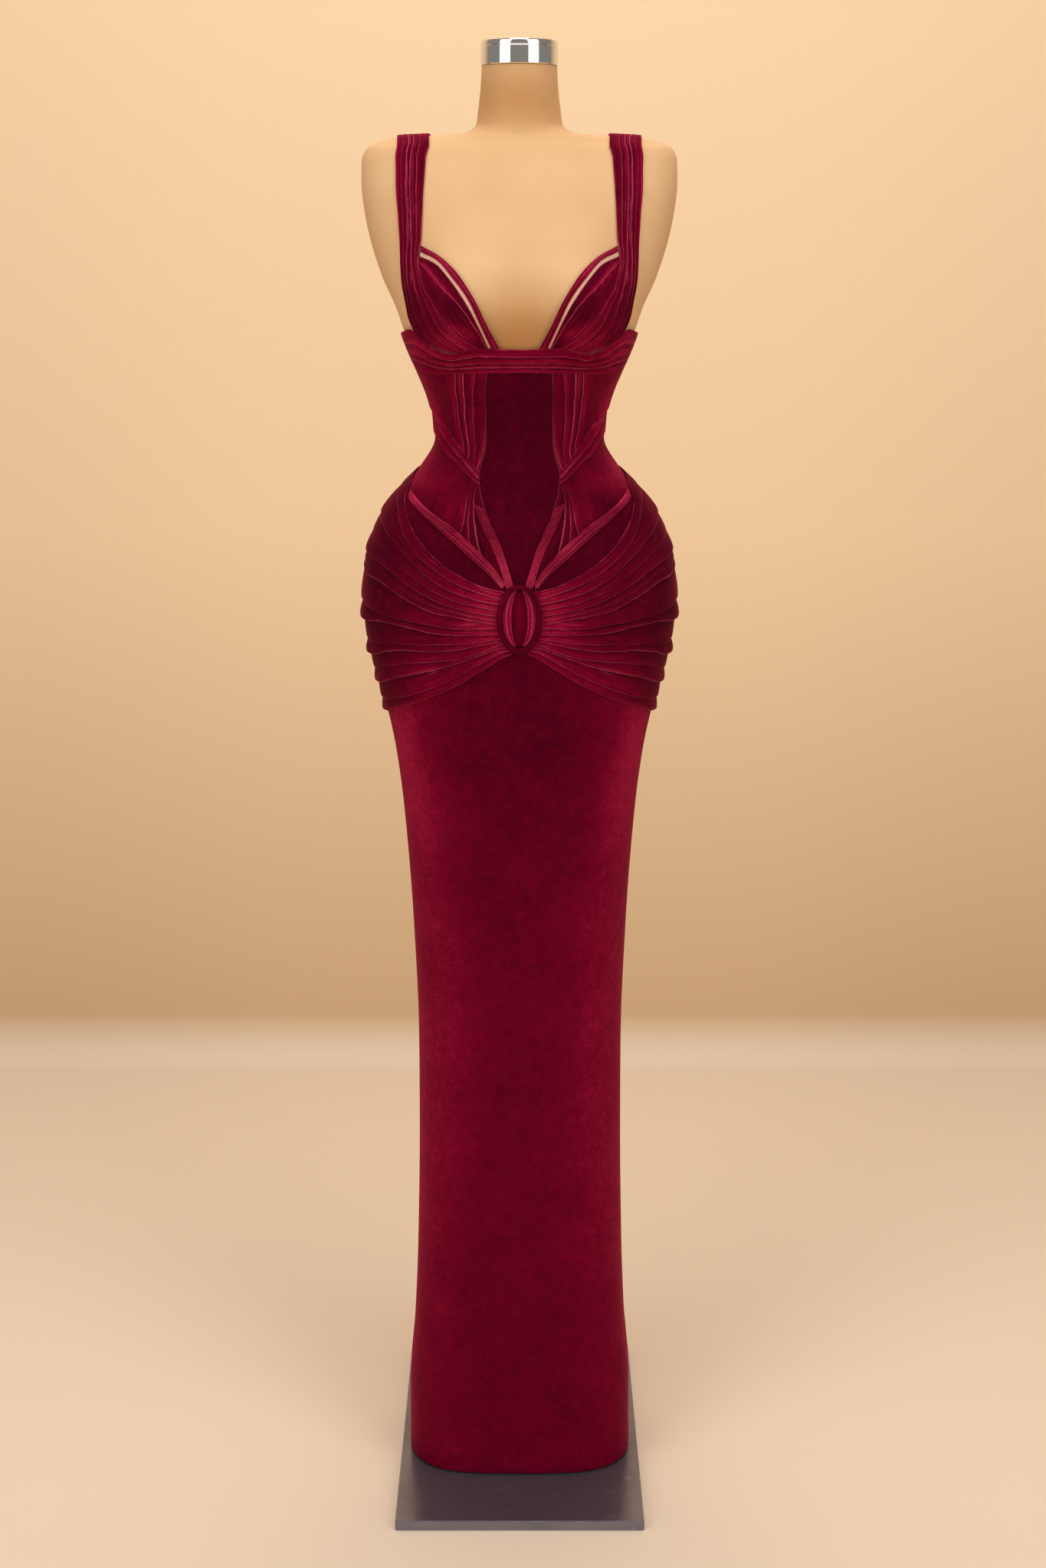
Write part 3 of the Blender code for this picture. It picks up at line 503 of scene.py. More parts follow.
def plain_patch(turn: np.ndarray, height: np.ndarray, off: np.ndarray | float, nap: Nap,
                glow: float = 0.0) -> Patch:
    """Return a patch with no folds, whose fold place runs from 0 at one edge to 1 at the other.

    Args:
        turn: Grid of turns.
        height: Grid of heights.
        off: Outer face's distance from the figure.
        nap: Painted sheen and shade of the pile.
        glow: Brightness of the painted highlights along the two upright edges.

    Returns:
        The grid.
    """
    turn, height, off = np.broadcast_arrays(turn, height, off)
    flat = FIGURE.held_off(turn, height, off)
    width = np.linalg.norm(np.diff(flat, axis=1), axis=-1).sum(1)[:, None] + 0 * turn
    fold = np.linspace(0, 1, turn.shape[1])[None, :] + 0 * turn
    along = np.zeros_like(turn)
    along[1:] = np.linalg.norm(np.diff(flat, axis=0), axis=-1).cumsum(0)
    return Patch(turn, height, off, nap.over(turn, height), fold, width, along, glow + 0 * turn, 0 * turn)


class NodeBench:
    """Adds and links the shader nodes of one material."""

    def __init__(self, name: str) -> None:
        """Start a material with its Principled shader."""
        self.material = bpy.data.materials.new(name)
        self.material.use_nodes = True
        self.tree = self.material.node_tree
        self.shader = self.tree.nodes["Principled BSDF"]
        self.place = self.node("ShaderNodeTexCoord").outputs["Object"]

    def node(self, kind: str, **settings: object) -> bpy.types.Node:
        """Return a new node of a kind with its settings."""
        made = self.tree.nodes.new(kind)
        for name, value in settings.items():
            setattr(made, name, value)
        return made

    def plug(self, socket: bpy.types.NodeSocket, value: object) -> None:
        """Link a socket to another, or set its value."""
        if isinstance(value, bpy.types.NodeSocket):
            self.tree.links.new(value, socket)
        else:
            socket.default_value = value

    def math(self, operation: str, *values: object) -> bpy.types.NodeSocket:
        """Return the result of a math node."""
        made = self.node("ShaderNodeMath", operation=operation)
        for socket, value in zip(made.inputs, values):
            self.plug(socket, value)
        return made.outputs[0]

    def add(self, *values: object) -> bpy.types.NodeSocket:
        """Return the sum of values, added in their order."""
        return reduce(lambda first, second: self.math("ADD", first, second), values)

    def times(self, *values: object) -> bpy.types.NodeSocket:
        """Return the product of values, multiplied in their order."""
        return reduce(lambda first, second: self.math("MULTIPLY", first, second), values)

    def span(self, value: object, low: float, high: float, to_low: float = 0.0,
             to_high: float = 1.0) -> bpy.types.NodeSocket:
        """Return a value mapped from one span to another and held inside it."""
        made = self.node("ShaderNodeMapRange", clamp=True)
        for socket, item in zip(made.inputs, (value, low, high, to_low, to_high)):
            self.plug(socket, item)
        return made.outputs[0]

    def mix(self, share: object, first: object, second: object) -> bpy.types.NodeSocket:
        """Return a mix of two colours."""
        made = self.node("ShaderNodeMix", data_type="RGBA")
        for name, value in (("Factor_Float", share), ("A_Color", first), ("B_Color", second)):
            socket = next(s for s in made.inputs if s.identifier == name)
            self.plug(socket, (*value, 1.0) if isinstance(value, tuple) else value)
        return next(s for s in made.outputs if s.identifier == "Result_Color")

    def attribute(self, name: str) -> bpy.types.NodeSocket:
        """Return a number stored on the mesh."""
        return self.node("ShaderNodeAttribute", attribute_name=name).outputs["Fac"]

    def noise(self, scale: float, detail: float = 2.0, stretch: tuple = (1, 1, 1)) -> bpy.types.NodeSocket:
        """Return noise over the object's own space."""
        mapping = self.node("ShaderNodeMapping")
        mapping.inputs["Scale"].default_value = stretch
        self.plug(mapping.inputs["Vector"], self.place)
        made = self.node("ShaderNodeTexNoise")
        made.inputs["Scale"].default_value = scale
        made.inputs["Detail"].default_value = detail
        self.plug(made.inputs["Vector"], mapping.outputs[0])
        return made.outputs["Fac"]

    def bump(self, height: object, strength: float, distance: float) -> None:
        """Raise the surface by a height under the shader."""
        made = self.node("ShaderNodeBump")
        made.inputs["Strength"].default_value = strength
        made.inputs["Distance"].default_value = distance
        self.plug(made.inputs["Height"], height)
        self.plug(self.shader.inputs["Normal"], made.outputs[0])

    def settle(self, **values: object) -> None:
        """Set or link the shader's own sockets by name, with underscores for spaces."""
        for name, value in values.items():
            self.plug(self.shader.inputs[name.replace("_", " ")], value)


@dataclass(frozen=True)
class Velvet:
    """Crimson stretch velvet with painted light: painted sheen, darker along the pile and brighter where a
    crease turns it over, and painted highlights and shade at the creases.
    """

    name: str = "crimson_velvet"
    # The pile's colours from painted shade to painted sheen, the painted highlight along a crease, and the
    # painted shade below a fold
    dark: Colour = (0.056, 0.0004, 0.0078)
    middle: Colour = (0.165, 0.0008, 0.0180)
    bright: Colour = (0.450, 0.0120, 0.0650)
    line: Colour = (0.580, 0.0800, 0.1350)
    shade: Colour = (0.014, 0.0002, 0.0030)
    line_place: float = 0.00012
    line_half_width: float = 0.00050
    line_sway: float = 0.0008
    shade_depth: float = 0.0022
    shade_share: float = 0.34
    crest_glow: float = 0.26
    streak_width: float = 0.0024
    streak_length: float = 0.060
    fold_shift: float = 17.3

    def streaks(self, bench: "NodeBench", fold: bpy.types.NodeSocket) -> bpy.types.NodeSocket:
        """Return noise drawn out along the folds."""
        place = bench.node("ShaderNodeCombineXYZ")
        width = bench.math("DIVIDE", bench.attribute("fold_width"), self.streak_width)
        inside = bench.times(bench.math("FRACT", fold), width)
        shift = bench.times(bench.math("FLOOR", fold), self.fold_shift)
        bench.plug(place.inputs[0], bench.add(inside, shift))
        bench.plug(place.inputs[1], bench.math("DIVIDE", bench.attribute("along"), self.streak_length))
        made = bench.node("ShaderNodeTexNoise")
        made.inputs["Scale"].default_value = 1.0
        made.inputs["Detail"].default_value = 3.0
        bench.plug(made.inputs["Vector"], place.outputs[0])
        return made.outputs["Fac"]

    def material(self) -> bpy.types.Material:
        """Return the velvet's material."""
        bench = NodeBench(self.name)
        add, times, span, math = bench.add, bench.times, bench.span, bench.math
        nap, glow, fold, width = (bench.attribute(n) for n in ("nap", "glow", "fold", "fold_width"))
        mottle, cloud = bench.noise(16.0, 5.0), bench.noise(95.0, 4.0)
        crush, pile = bench.noise(620.0, 3.0), bench.noise(1500.0, 2.0)
        streak = self.streaks(bench, fold)
        # Distance past the nearest crease, and the same in depths of the shade below one
        past = times(math("SUBTRACT", fold, math("ROUND", fold)), width)
        past = add(past, span(cloud, 0.3, 0.7, -0.5 * self.line_sway, 0.5 * self.line_sway))
        reach = math("DIVIDE", past, add(times(width, self.shade_share), self.shade_depth))
        # The pile's colour: painted sheen of each piece with random mottling, fine streaks and crushing, and
        # a painted highlight on the crest just past a crease
        drawn = times(span(streak, 0.3, 0.7, -0.15, 0.15), span(glow, 0.0, 0.5))
        crushed = times(span(crush, 0.32, 0.68, -0.20, 0.20), span(nap, 0.05, 0.7, 0.25, 1.0))
        crest = times(math("POWER", span(reach, 0.0, 1.3, 1.0, 0.0), 1.5),
                      math("GREATER_THAN", past, 0.0), span(glow, 0.0, 0.7, 0.0, self.crest_glow))
        tone = add(nap, span(mottle, 0.3, 0.7, -0.06, 0.06), span(cloud, 0.3, 0.7, -0.07, 0.07), drawn,
                   add(crushed, crest))
        colour = bench.mix(span(tone, 0.0, 0.42), self.dark, self.middle)
        colour = bench.mix(span(tone, 0.42, 1.05), colour, self.bright)
        # The shade below a crease where a fold lies over
        under = times(math("POWER", span(reach, -1.0, 0.0), 1.8), math("LESS_THAN", past, 0.0),
                      bench.attribute("overlap"), span(glow, 0.0, 0.6, 0.0, 0.80))
        colour = bench.mix(under, colour, self.shade)
        # The painted highlight along a crease, broken up by noise, and finer painted highlights where a
        # crease glows
        away = math("DIVIDE", math("SUBTRACT", past, self.line_place), self.line_half_width)
        ridge = math("EXPONENT", times(away, away, -1.0))
        fine = times(span(streak, 0.60, 0.66), span(glow, 0.4, 0.8, 0.0, 0.35))
        unevenness = span(add(mottle, crush), 0.8, 1.15, 0.35, 1.0)
        ridge = times(math("MAXIMUM", ridge, fine), glow, unevenness)
        bench.settle(Base_Color=bench.mix(ridge, colour, self.line), Roughness=0.8, Specular_IOR_Level=0.08,
                     Specular_Tint=(1.0, 0.15, 0.30, 1.0), Sheen_Weight=0.35, Sheen_Roughness=0.3,
                     Sheen_Tint=(1.0, 0.05, 0.16, 1.0))
        bench.bump(add(pile, times(crush, 0.6)), 0.35, 0.0006)
        return bench.material


@dataclass(frozen=True)
class Net:
    """Skin-toned net with a fine open weave."""

    name: str = "skin_net"
    thread: Colour = (0.52, 0.25, 0.17)
    gap: Colour = (0.78, 0.48, 0.33)
    cell_scale: float = 950.0

    def material(self) -> bpy.types.Material:
        """Return the net's material."""
        bench = NodeBench(self.name)
        cells = bench.node("ShaderNodeTexVoronoi", feature="DISTANCE_TO_EDGE")
        cells.inputs["Scale"].default_value = self.cell_scale
        bench.plug(cells.inputs["Vector"], bench.place)
        thread = bench.span(cells.outputs["Distance"], 0.05, 0.16)
        colour = bench.mix(thread, self.thread, self.gap)
        bench.settle(Base_Color=colour, Roughness=0.6, Specular_IOR_Level=0.3, Sheen_Weight=0.2)
        bench.bump(thread, 0.3, 0.0002)
        return bench.material


@dataclass(frozen=True)
class FormCover:
    """Smooth skin-toned cover of the form, deeper with painted shade where the mesh says so."""

    name: str = "warm_form_cover"
    body: Colour = (0.76, 0.485, 0.262)
    deep: Colour = (0.46, 0.210, 0.065)

    def material(self) -> bpy.types.Material:
        """Return the cover's material."""
        bench = NodeBench(self.name)
        blotch = bench.span(bench.noise(14.0, 3.0), 0.3, 0.7, -0.06, 0.10)
        # Painted shade from the mesh's attribute, with random blotches
        share = bench.span(bench.add(bench.attribute("tone"), blotch), 0.0, 1.0)
        weave = bench.noise(1400.0, 1.0, (1.0, 1.0, 0.35))
        bench.settle(Base_Color=bench.mix(share, self.body, self.deep), Roughness=0.6,
                     Specular_IOR_Level=0.16)
        bench.bump(weave, 0.08, 0.0003)
        return bench.material


@dataclass(frozen=True)
class Metal:
    """A metal finish with faint brushing and handling marks, under a film where it is less than 1."""

    name: str
    colour: Colour
    roughness: float
    marks: float
    brush: tuple[float, float, float] = (1.0, 1.0, 1.0)
    metallic: float = 1.0
    scratches: float = 0.0

    def material(self) -> bpy.types.Material:
        """Return the metal's material."""
        bench = NodeBench(self.name)
        smear = bench.noise(18.0, 4.0)
        lines = bench.noise(260.0, 2.0, self.brush)
        rough = bench.add(bench.span(smear, 0.3, 0.75, self.roughness, self.roughness + self.marks),
                          bench.span(lines, 0.3, 0.7, 0.0, 0.5 * self.marks))
        darker = tuple(0.82 * c for c in self.colour)
        lighter = tuple(min(1.0, 1.6 * c) for c in self.colour)
        colour = bench.mix(bench.span(smear, 0.35, 0.8), self.colour, darker)
        colour = bench.mix(bench.span(lines, 0.66, 0.72, 0.0, self.scratches), colour, lighter)
        bench.settle(Base_Color=colour, Metallic=self.metallic, Roughness=rough)
        bench.bump(lines, 0.03, 0.0002)
        return bench.material


@dataclass(frozen=True)
class Tape:
    """Woven tape with a herringbone of fine threads."""

    name: str
    colour: Colour

    def material(self) -> bpy.types.Material:
        """Return the tape's material."""
        bench = NodeBench(self.name)
        wave = bench.node("ShaderNodeTexWave", wave_type="BANDS", bands_direction="Z")
        wave.inputs["Scale"].default_value = 320.0
        bench.plug(wave.inputs["Vector"], bench.place)
        rib = wave.outputs["Fac"]
        darker = tuple(0.6 * c for c in self.colour)
        bench.settle(Base_Color=bench.mix(rib, darker, self.colour), Roughness=0.75,
                     Specular_IOR_Level=0.1)
        bench.bump(rib, 0.3, 0.0002)
        return bench.material


class Finish(Enum):
    """The finishes of the dress and its stand, each named for its record slot."""

    VELVET = ("velvet", Velvet())
    SEWING = ("velvet", Tape("sewing_thread", (0.085, 0.001, 0.012)))
    PIPING = ("velvet", Tape("velvet_piping", (0.20, 0.030, 0.035)))
    MESH = ("mesh", Net())
    ZIP_TAPE = ("velvet", Tape("zip_tape", (0.10, 0.002, 0.012)))
    ZIP_METAL = ("zip_metal", Metal("lacquered_zip_metal", (0.27, 0.03, 0.06), 0.28, 0.12))
    FORM = ("form_cover", FormCover())
    CHROME = ("chrome", Metal("polished_chrome", (0.86, 0.86, 0.87), 0.05, 0.05, (1, 1, 12)))
    STEEL = ("steel", Metal("polished_steel", (0.24, 0.235, 0.30), 0.15, 0.12, (0.22, 1.2, 1), 0.80, 0.55))

    @property
    def slot(self) -> str:
        """Return the record's material slot."""
        return self.value[0]

    def material(self) -> bpy.types.Material:
        """Return the finish's material, made once."""
        name = self.value[1].name
        return bpy.data.materials.get(name) or self.value[1].material()


@dataclass(frozen=True)
class Cut:
    """How a piece was cut flat, against the size it takes up on the figure."""

    held: Hold = Hold.STRETCHED
    across: float = 1.02
    along: float = 1.02


class Tailor:
    """Turns patches into closed walls of cloth and hides the solids that each replaces."""

    @staticmethod
    def finish_piece(piece: bpy.types.Object, finish: Finish, nodes: Sequence[str] = ()) -> None:
        """Give a finished piece its material and body, and hide the solids it replaces.

        Args:
            piece: The mesh object.
            finish: Its finish.
            nodes: Names of the solids it replaces.
        """
        piece.data.materials.clear()
        piece.data.materials.append(finish.material())
        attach(piece, GOWN)
        if nodes:
            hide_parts(*nodes)
        piece.data.calc_loop_triangles()
        LOG.info("%s: %d triangles", piece.name, len(piece.data.loop_triangles))

    @staticmethod
    def refinish(nodes: Sequence[str], finish: Finish) -> None:
        """Give solids that stay in sight their finish."""
        for name in nodes:
            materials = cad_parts[name].data.materials
            materials.clear()
            materials.append(finish.material())

    @staticmethod
    def shell(name: str, patch: Patch, side: Side, thickness: float) -> bpy.types.Object:
        """Return a closed wall of cloth under a patch, with softened edges.

        Args:
            name: Name of the object.
            patch: The outer face.
            side: Side that the piece is on.
            thickness: Thickness of the wall.

        Returns:
            The mesh object.
        """
        patch = patch.with_soft_edges(EDGE_SOFTNESS)
        rows, columns = patch.turn.shape
        rim = np.zeros((rows, columns), bool)
        rim[[0, -1], :] = True
        rim[:, [0, -1]] = True
        outer = FIGURE.held_off(patch.turn, patch.height, patch.off - RIM_SHARE * thickness * rim)
        inner = FIGURE.held_off(patch.turn, patch.height, patch.off - thickness * (1 - RIM_SHARE * rim))
        points = np.concatenate([outer.reshape(-1, 3), inner.reshape(-1, 3)])
        points[:, 0] *= side.value
        index = np.arange(rows * columns).reshape(rows, columns)
        quads = np.stack([index[:-1, :-1], index[:-1, 1:], index[1:, 1:], index[1:, :-1]], -1).reshape(-1, 4)
        loop = np.concatenate([index[0, :-1], index[:-1, -1], index[-1, :0:-1], index[:0:-1, 0]])
        after = np.roll(loop, -1)
        total = rows * columns
        sides = np.stack([after, loop, loop + total, after + total], -1)
        faces = np.concatenate([quads, quads[:, ::-1] + total, sides])
        middle = quads[len(quads) // 2 + columns // 3]
        corner = points[middle]
        normal = np.cross(corner[1] - corner[0], corner[3] - corner[0])
        if normal @ (corner[0] - points[middle[0] + total]) < 0:
            faces = faces[:, ::-1]
        mesh = bpy.data.meshes.new(name)
        mesh.from_pydata(points.tolist(), [], faces.tolist())
        for field_name in patch.NAMES[3:]:
            values = np.tile(getattr(patch, field_name).ravel(), 2).astype(np.float32)
            mesh.attributes.new(field_name, "FLOAT", "POINT").data.foreach_set("value", values)
        mesh.shade_smooth()
        return placed(name, mesh)

    @classmethod
    def sew(cls, node: str, patch: Patch, cut: Cut = Cut(), side: Side | None = None, title: str = "",
            finish: Finish = Finish.VELVET, thickness: float = CLOTH) -> None:
        """Args:
            node: The solid it stands for, without its side.
            patch: Its outer face.
            cut: Not used.
            side: Side that it is on, or None where it crosses the middle.
            title: Name of the piece without its side, where that isn't the node's after velvet.
            finish: Its finish.
            thickness: Thickness of its wall.
        """
        ending = f"_{side.label}" if side else ""
        name = (title or "velvet_" + node) + ending
        points = patch.points()
        piece = cls.shell(name, patch, side or Side.LEFT, thickness)
        cls.finish_piece(piece, finish, (node + ending,))


class Thread:
    """Geometry node trees that run stitches, pipings and teeth along lines."""

    def __init__(self, name: str) -> None:
        """Start a tree with its geometry sockets."""
        self.tree = bpy.data.node_groups.new(name, "GeometryNodeTree")
        self.tree.interface.new_socket("Geometry", in_out="INPUT", socket_type="NodeSocketGeometry")
        self.tree.interface.new_socket("Geometry", in_out="OUTPUT", socket_type="NodeSocketGeometry")
        self.sizes: dict[str, str] = {}
        self.start = self.tree.nodes.new("NodeGroupInput")
        self.end = self.tree.nodes.new("NodeGroupOutput")

    def size(self, name: str, kind: str = "NodeSocketFloat") -> bpy.types.NodeSocket:
        """Return a new named input of the tree."""
        socket = self.tree.interface.new_socket(name, in_out="INPUT", socket_type=kind)
        self.sizes[name] = socket.identifier
        return next(s for s in self.start.outputs if s.identifier == socket.identifier)

    def node(self, kind: str, **links: object) -> bpy.types.Node:
        """Return a new node, with its inputs linked or set by name, underscores for spaces."""
        made = self.tree.nodes.new(kind)
        for name, value in links.items():
            socket = made.inputs[name.replace("_", " ")]
            if isinstance(value, bpy.types.NodeSocket):
                self.tree.links.new(value, socket)
            else:
                socket.default_value = value
        return made

    def close(self, geometry: bpy.types.NodeSocket) -> None:
        """End the tree in realized, smooth and finished geometry."""
        real = self.node("GeometryNodeRealizeInstances", Geometry=geometry)
        smooth = self.node("GeometryNodeSetShadeSmooth", Geometry=real.outputs[0])
        painted = self.node("GeometryNodeSetMaterial", Geometry=smooth.outputs[0],
                            Material=self.size("Material", "NodeSocketMaterial"))
        self.tree.links.new(painted.outputs[0], self.end.inputs[0])

    @classmethod
    def piping(cls) -> "Thread":
        """Return a tree that sweeps a round cord along lines."""
        made = cls("piping_along_lines")
        curve = made.node("GeometryNodeMeshToCurve", Mesh=made.start.outputs[0])
        profile = made.node("GeometryNodeCurvePrimitiveCircle", Resolution=8, Radius=made.size("Radius"))
        swept = made.node("GeometryNodeCurveToMesh", Curve=curve.outputs[0], Profile_Curve=profile.outputs[0],
                          Fill_Caps=True)
        made.close(swept.outputs[0])
        return made

    @classmethod
    def stitches(cls) -> "Thread":
        """Return a tree that lays small rounded stitches at even steps along lines."""
        made = cls("stitches_along_lines")
        curve = made.node("GeometryNodeMeshToCurve", Mesh=made.start.outputs[0])
        points = made.tree.nodes.new("GeometryNodeCurveToPoints")
        points.mode = "LENGTH"
        made.tree.links.new(curve.outputs[0], points.inputs[0])
        made.tree.links.new(made.size("Spacing"), points.inputs["Length"])
        ball = made.node("GeometryNodeMeshUVSphere", Segments=6, Rings=4, Radius=made.size("Thickness"))
        shape = made.node("ShaderNodeCombineXYZ", X=1.0, Y=1.0, Z=made.size("Slimness"))
        laid = made.node("GeometryNodeInstanceOnPoints", Points=points.outputs["Points"],
                         Instance=ball.outputs["Mesh"], Rotation=points.outputs["Rotation"],
                         Scale=shape.outputs[0])
        made.close(laid.outputs[0])
        return made

    def run(self, name: str, lines: Sequence[np.ndarray], finish: Finish, closed: bool = False,
            nodes: Sequence[str] = (), **sizes: float) -> bpy.types.Object:
        """Make one piece by running the tree along lines of points.

        Args:
            name: Name of the piece.
            lines: Points of each line.
            finish: Finish of the piece.
            closed: Whether each line returns to its start.
            nodes: Names of the solids it replaces.
            **sizes: Values of the tree's named inputs, underscores for spaces.

        Returns:
            The plain mesh object.
        """
        points: list[list[float]] = []
        edges: list[tuple[int, int]] = []
        for line in lines:
            first = len(points)
            points += np.asarray(line).tolist()
            edges += [(i, i + 1) for i in range(first, len(points) - 1)]
            if closed:
                edges.append((len(points) - 1, first))
        mesh = bpy.data.meshes.new(name + "_lines")
        mesh.from_pydata(points, edges, [])
        guide = placed(name + "_lines", mesh)
        modifier = guide.modifiers.new("run", "NODES")
        modifier.node_group = self.tree
        for size_name, value in sizes.items():
            modifier[self.sizes[size_name.replace("_", " ")]] = value
        modifier[self.sizes["Material"]] = finish.material()
        made = bpy.data.meshes.new_from_object(guide.evaluated_get(bpy.context.evaluated_depsgraph_get()))
        bpy.data.objects.remove(guide, do_unlink=True)
        made.name = name
        piece = placed(name, made)
        Tailor.finish_piece(piece, finish, nodes)
        return piece


@dataclass
class Skirt:
    """The straight skirt, front and back, from the hem to the seam under the drape."""

    hem: float = 0.0147
    columns: int = 130
    rows: int = 220
    sway: float = 0.0006
    # Painted light over the skirt: painted sheen brighter towards the sides, painted shade at the centre
    # under the drape, and a little brighter by the hem
    front_nap: Nap = Nap(0.27, (Spot(60, 0.93, 20, 0.14, 0.36), Spot(62, 0.50, 24, 0.40, 0.26),
                                Spot(0, 0.96, 45, 0.16, -0.14), Spot(35, 0.55, 14, 0.35, 0.10),
                                Spot(0, 0.03, 60, 0.04, 0.12)))
    back_nap: Nap = Nap(0.24, (Spot(118, 0.90, 22, 0.20, 0.30), Spot(112, 0.45, 22, 0.50, 0.20)))

    def build(self) -> None:
        """Make the skirt's two pieces."""
        heights = np.linspace(self.hem, HIP_SEAM, self.rows)[:, None]
        turns = np.linspace(-SIDE_SEAM, SIDE_SEAM, self.columns)[None, :]
        for name, start, nap, seed in (("skirt_front", 0.0, self.front_nap, 3),
                                       ("skirt_back", BACK_SEAM, self.back_nap, 5)):
            turn = turns + start
            sway = ripple(turns, heights, seed, 70, 0.9) * np.clip((1.0 - heights) / 0.2, 0, 1)
            edge = np.clip((SIDE_SEAM - np.abs(turns)) / 10, 0, 1)
            patch = plain_patch(turn, heights, BASE_OFF + self.sway * sway * edge, nap)
            Tailor.sew(name, patch, Cut(Hold.HUNG, 1.03, 1.01))


@dataclass
class Bodice:
    """The fitted panels between the under-bust band and the hip."""

    rows: int = 110
    # Rounds that settle where a line meets the tongue
    rounds: int = 6
    tongue_top: float = 1.3640
    taper: float = 10.0
    tongue_off: float = BASE_OFF - 0.0005
    # Painted light over the panels: a dark tongue, painted sheen brighter towards the side seams and on the
    # hip yoke's outer part, and a patch of painted shade on the side front
    tongue_nap: Nap = Nap(0.02)
    side_nap: Nap = Nap(0.24, (Spot(80, 1.34, 20, 0.04, 0.34), Spot(48, 1.30, 9, 0.03, -0.12)))
    wrap_nap: Nap = Nap(0.30, (Spot(72, 1.32, 14, 0.05, 0.30),))
    yoke_nap: Nap = Nap(0.05, (Spot(76, 1.250, 22, 0.034, 0.58), Spot(44, 1.238, 18, 0.018, 0.26),
                               Spot(24, 1.210, 9, 0.014, 0.14)))
    back_nap: Nap = Nap(0.26, (Spot(112, 1.25, 22, 0.06, 0.30),))

    def build(self) -> None:
        """Make the tongue and, on each side, the panels beside it."""
        self.tongue()
        for side in Side:
            self.side_front(side)
            self.waist_wrap(side)
            self.hip_yoke(side)
            self.back(side)

    def tongue(self) -> None:
        """Make the plain dark tongue down the centre front."""
        up = np.linspace(0, 1, self.rows * 2)[:, None]
        across = np.linspace(-1, 1, 41)[None, :]
        height = HIP_SEAM + (self.tongue_top - HIP_SEAM) * up + 0 * across
        for _ in range(4):
            turn = Edges.TONGUE(height) * across
            height = HIP_SEAM + (Edges.BAND_BOTTOM(np.abs(turn)) - HIP_SEAM) * up
        Tailor.sew("centre_front", plain_patch(turn, height, self.tongue_off, self.tongue_nap))

    def upright(self, low: Callable, high: Callable, lines: Rows, glow: Rows, rise: Sequence[float]
                ) -> Creases:
        """Return creases that run up from one edge to another, the first along the tongue.

        Args:
            low: Height of the lower edge against the turn.
            high: Height of the upper edge against the turn.
            lines: Turns of each crease after the tongue's edge, at even stations upwards.
            glow: Brightness of each line at even stations upwards, the tongue's edge first.
            rise: Rise of the fold beyond each line, the tongue's edge first.

        Returns:
            The creases, up to the side seam.
        """
        up = np.linspace(0, 1, self.rows)
        lines = ([0.0, 0.0], *lines, [SIDE_SEAM, SIDE_SEAM])
        turn, bright = (np.array([np.interp(up, np.linspace(0, 1, len(row)), row) for row in rows])
                        for rows in (lines, glow))
        first = turn[0] + 15
        for _ in range(self.rounds):
            first = Edges.TONGUE(low(first) + (high(first) - low(first)) * up)
        turn[0] = first
        height = low(turn) + (high(turn) - low(turn)) * up
        rises = np.array([*rise, 0.0])[:, None] * eased(up, 1, self.taper, self.taper)
        return Creases(turn, height, bright, rises)

    @staticmethod
    def fitted(patch: Patch, low: Callable, high: Callable) -> Patch:
        """Return a patch whose places sit between two edges at every turn."""
        up = np.linspace(0, 1, patch.turn.shape[1])
        patch.height = low(patch.turn) + (high(patch.turn) - low(patch.turn)) * up
        return patch

    def side_front(self, side: Side) -> None:
        """Make the tucked panel beside the tongue."""
        lines = ((22.8, 21.9, 20.8, 18.4, 16.2), (25.8, 28.8, 29.2, 26.6, 21.9),
                 (31.2, 35.2, 35.4, 32.8, 28.9), (36.6, 40.6, 40.9, 38.5, 34.3), (60, 60))
        glow = ((0.5, 0.3, 0.5), (0.8, 0.6, 0.1, 0, 0), (0.1, 0.35, 0.35, 0.4), (0.7, 0.8, 0.8),
                (0.7, 0.8, 0.8), (0, 0), (0, 0))
        rise = (0.0006, 0.0010, 0.0010, 0.0014, 0.0012, 0.0)
        creases = self.upright(Edges.WRAP_TOP, Edges.BAND_BOTTOM, lines, glow, rise)
        patch = FoldShape(0.0012, 0.25).patch(creases, BASE_OFF, self.side_nap)
        patch = self.fitted(patch, Edges.WRAP_TOP, Edges.BAND_BOTTOM)
        Tailor.sew("side_front", patch, Cut(across=1.15), side)

    def waist_wrap(self, side: Side) -> None:
        """Make the soft folds that cross from the side seam to the tongue."""
        share = np.linspace(0, 1, self.rows)
        turns, heights = [], []
        for edge in (Edges.WRAP_BOTTOM, Edges.WRAP_FOLD, Edges.WRAP_TOP):
            turn = SIDE_SEAM * share
            for _ in range(self.rounds):
                start = Edges.TONGUE(edge(turn)[0])
                turn = start + (SIDE_SEAM - start) * share
            turns.append(turn)
            heights.append(edge(turn))
        glow = np.array([0.75 - 0.35 * share, 0.85 - 0.2 * share, 0.75 - 0.1 * share])
        rise = np.array([0.0020, 0.0022, 0.0])[:, None] * eased(share, 1, self.taper, 8)
        creases = Creases(np.array(turns), np.array(heights), glow, rise)
        patch = FoldShape(0.0018, 0.28).patch(creases, BASE_OFF, self.wrap_nap)
        Tailor.sew("waist_wrap", patch, Cut(Hold.GATHERED, 1.25), side)

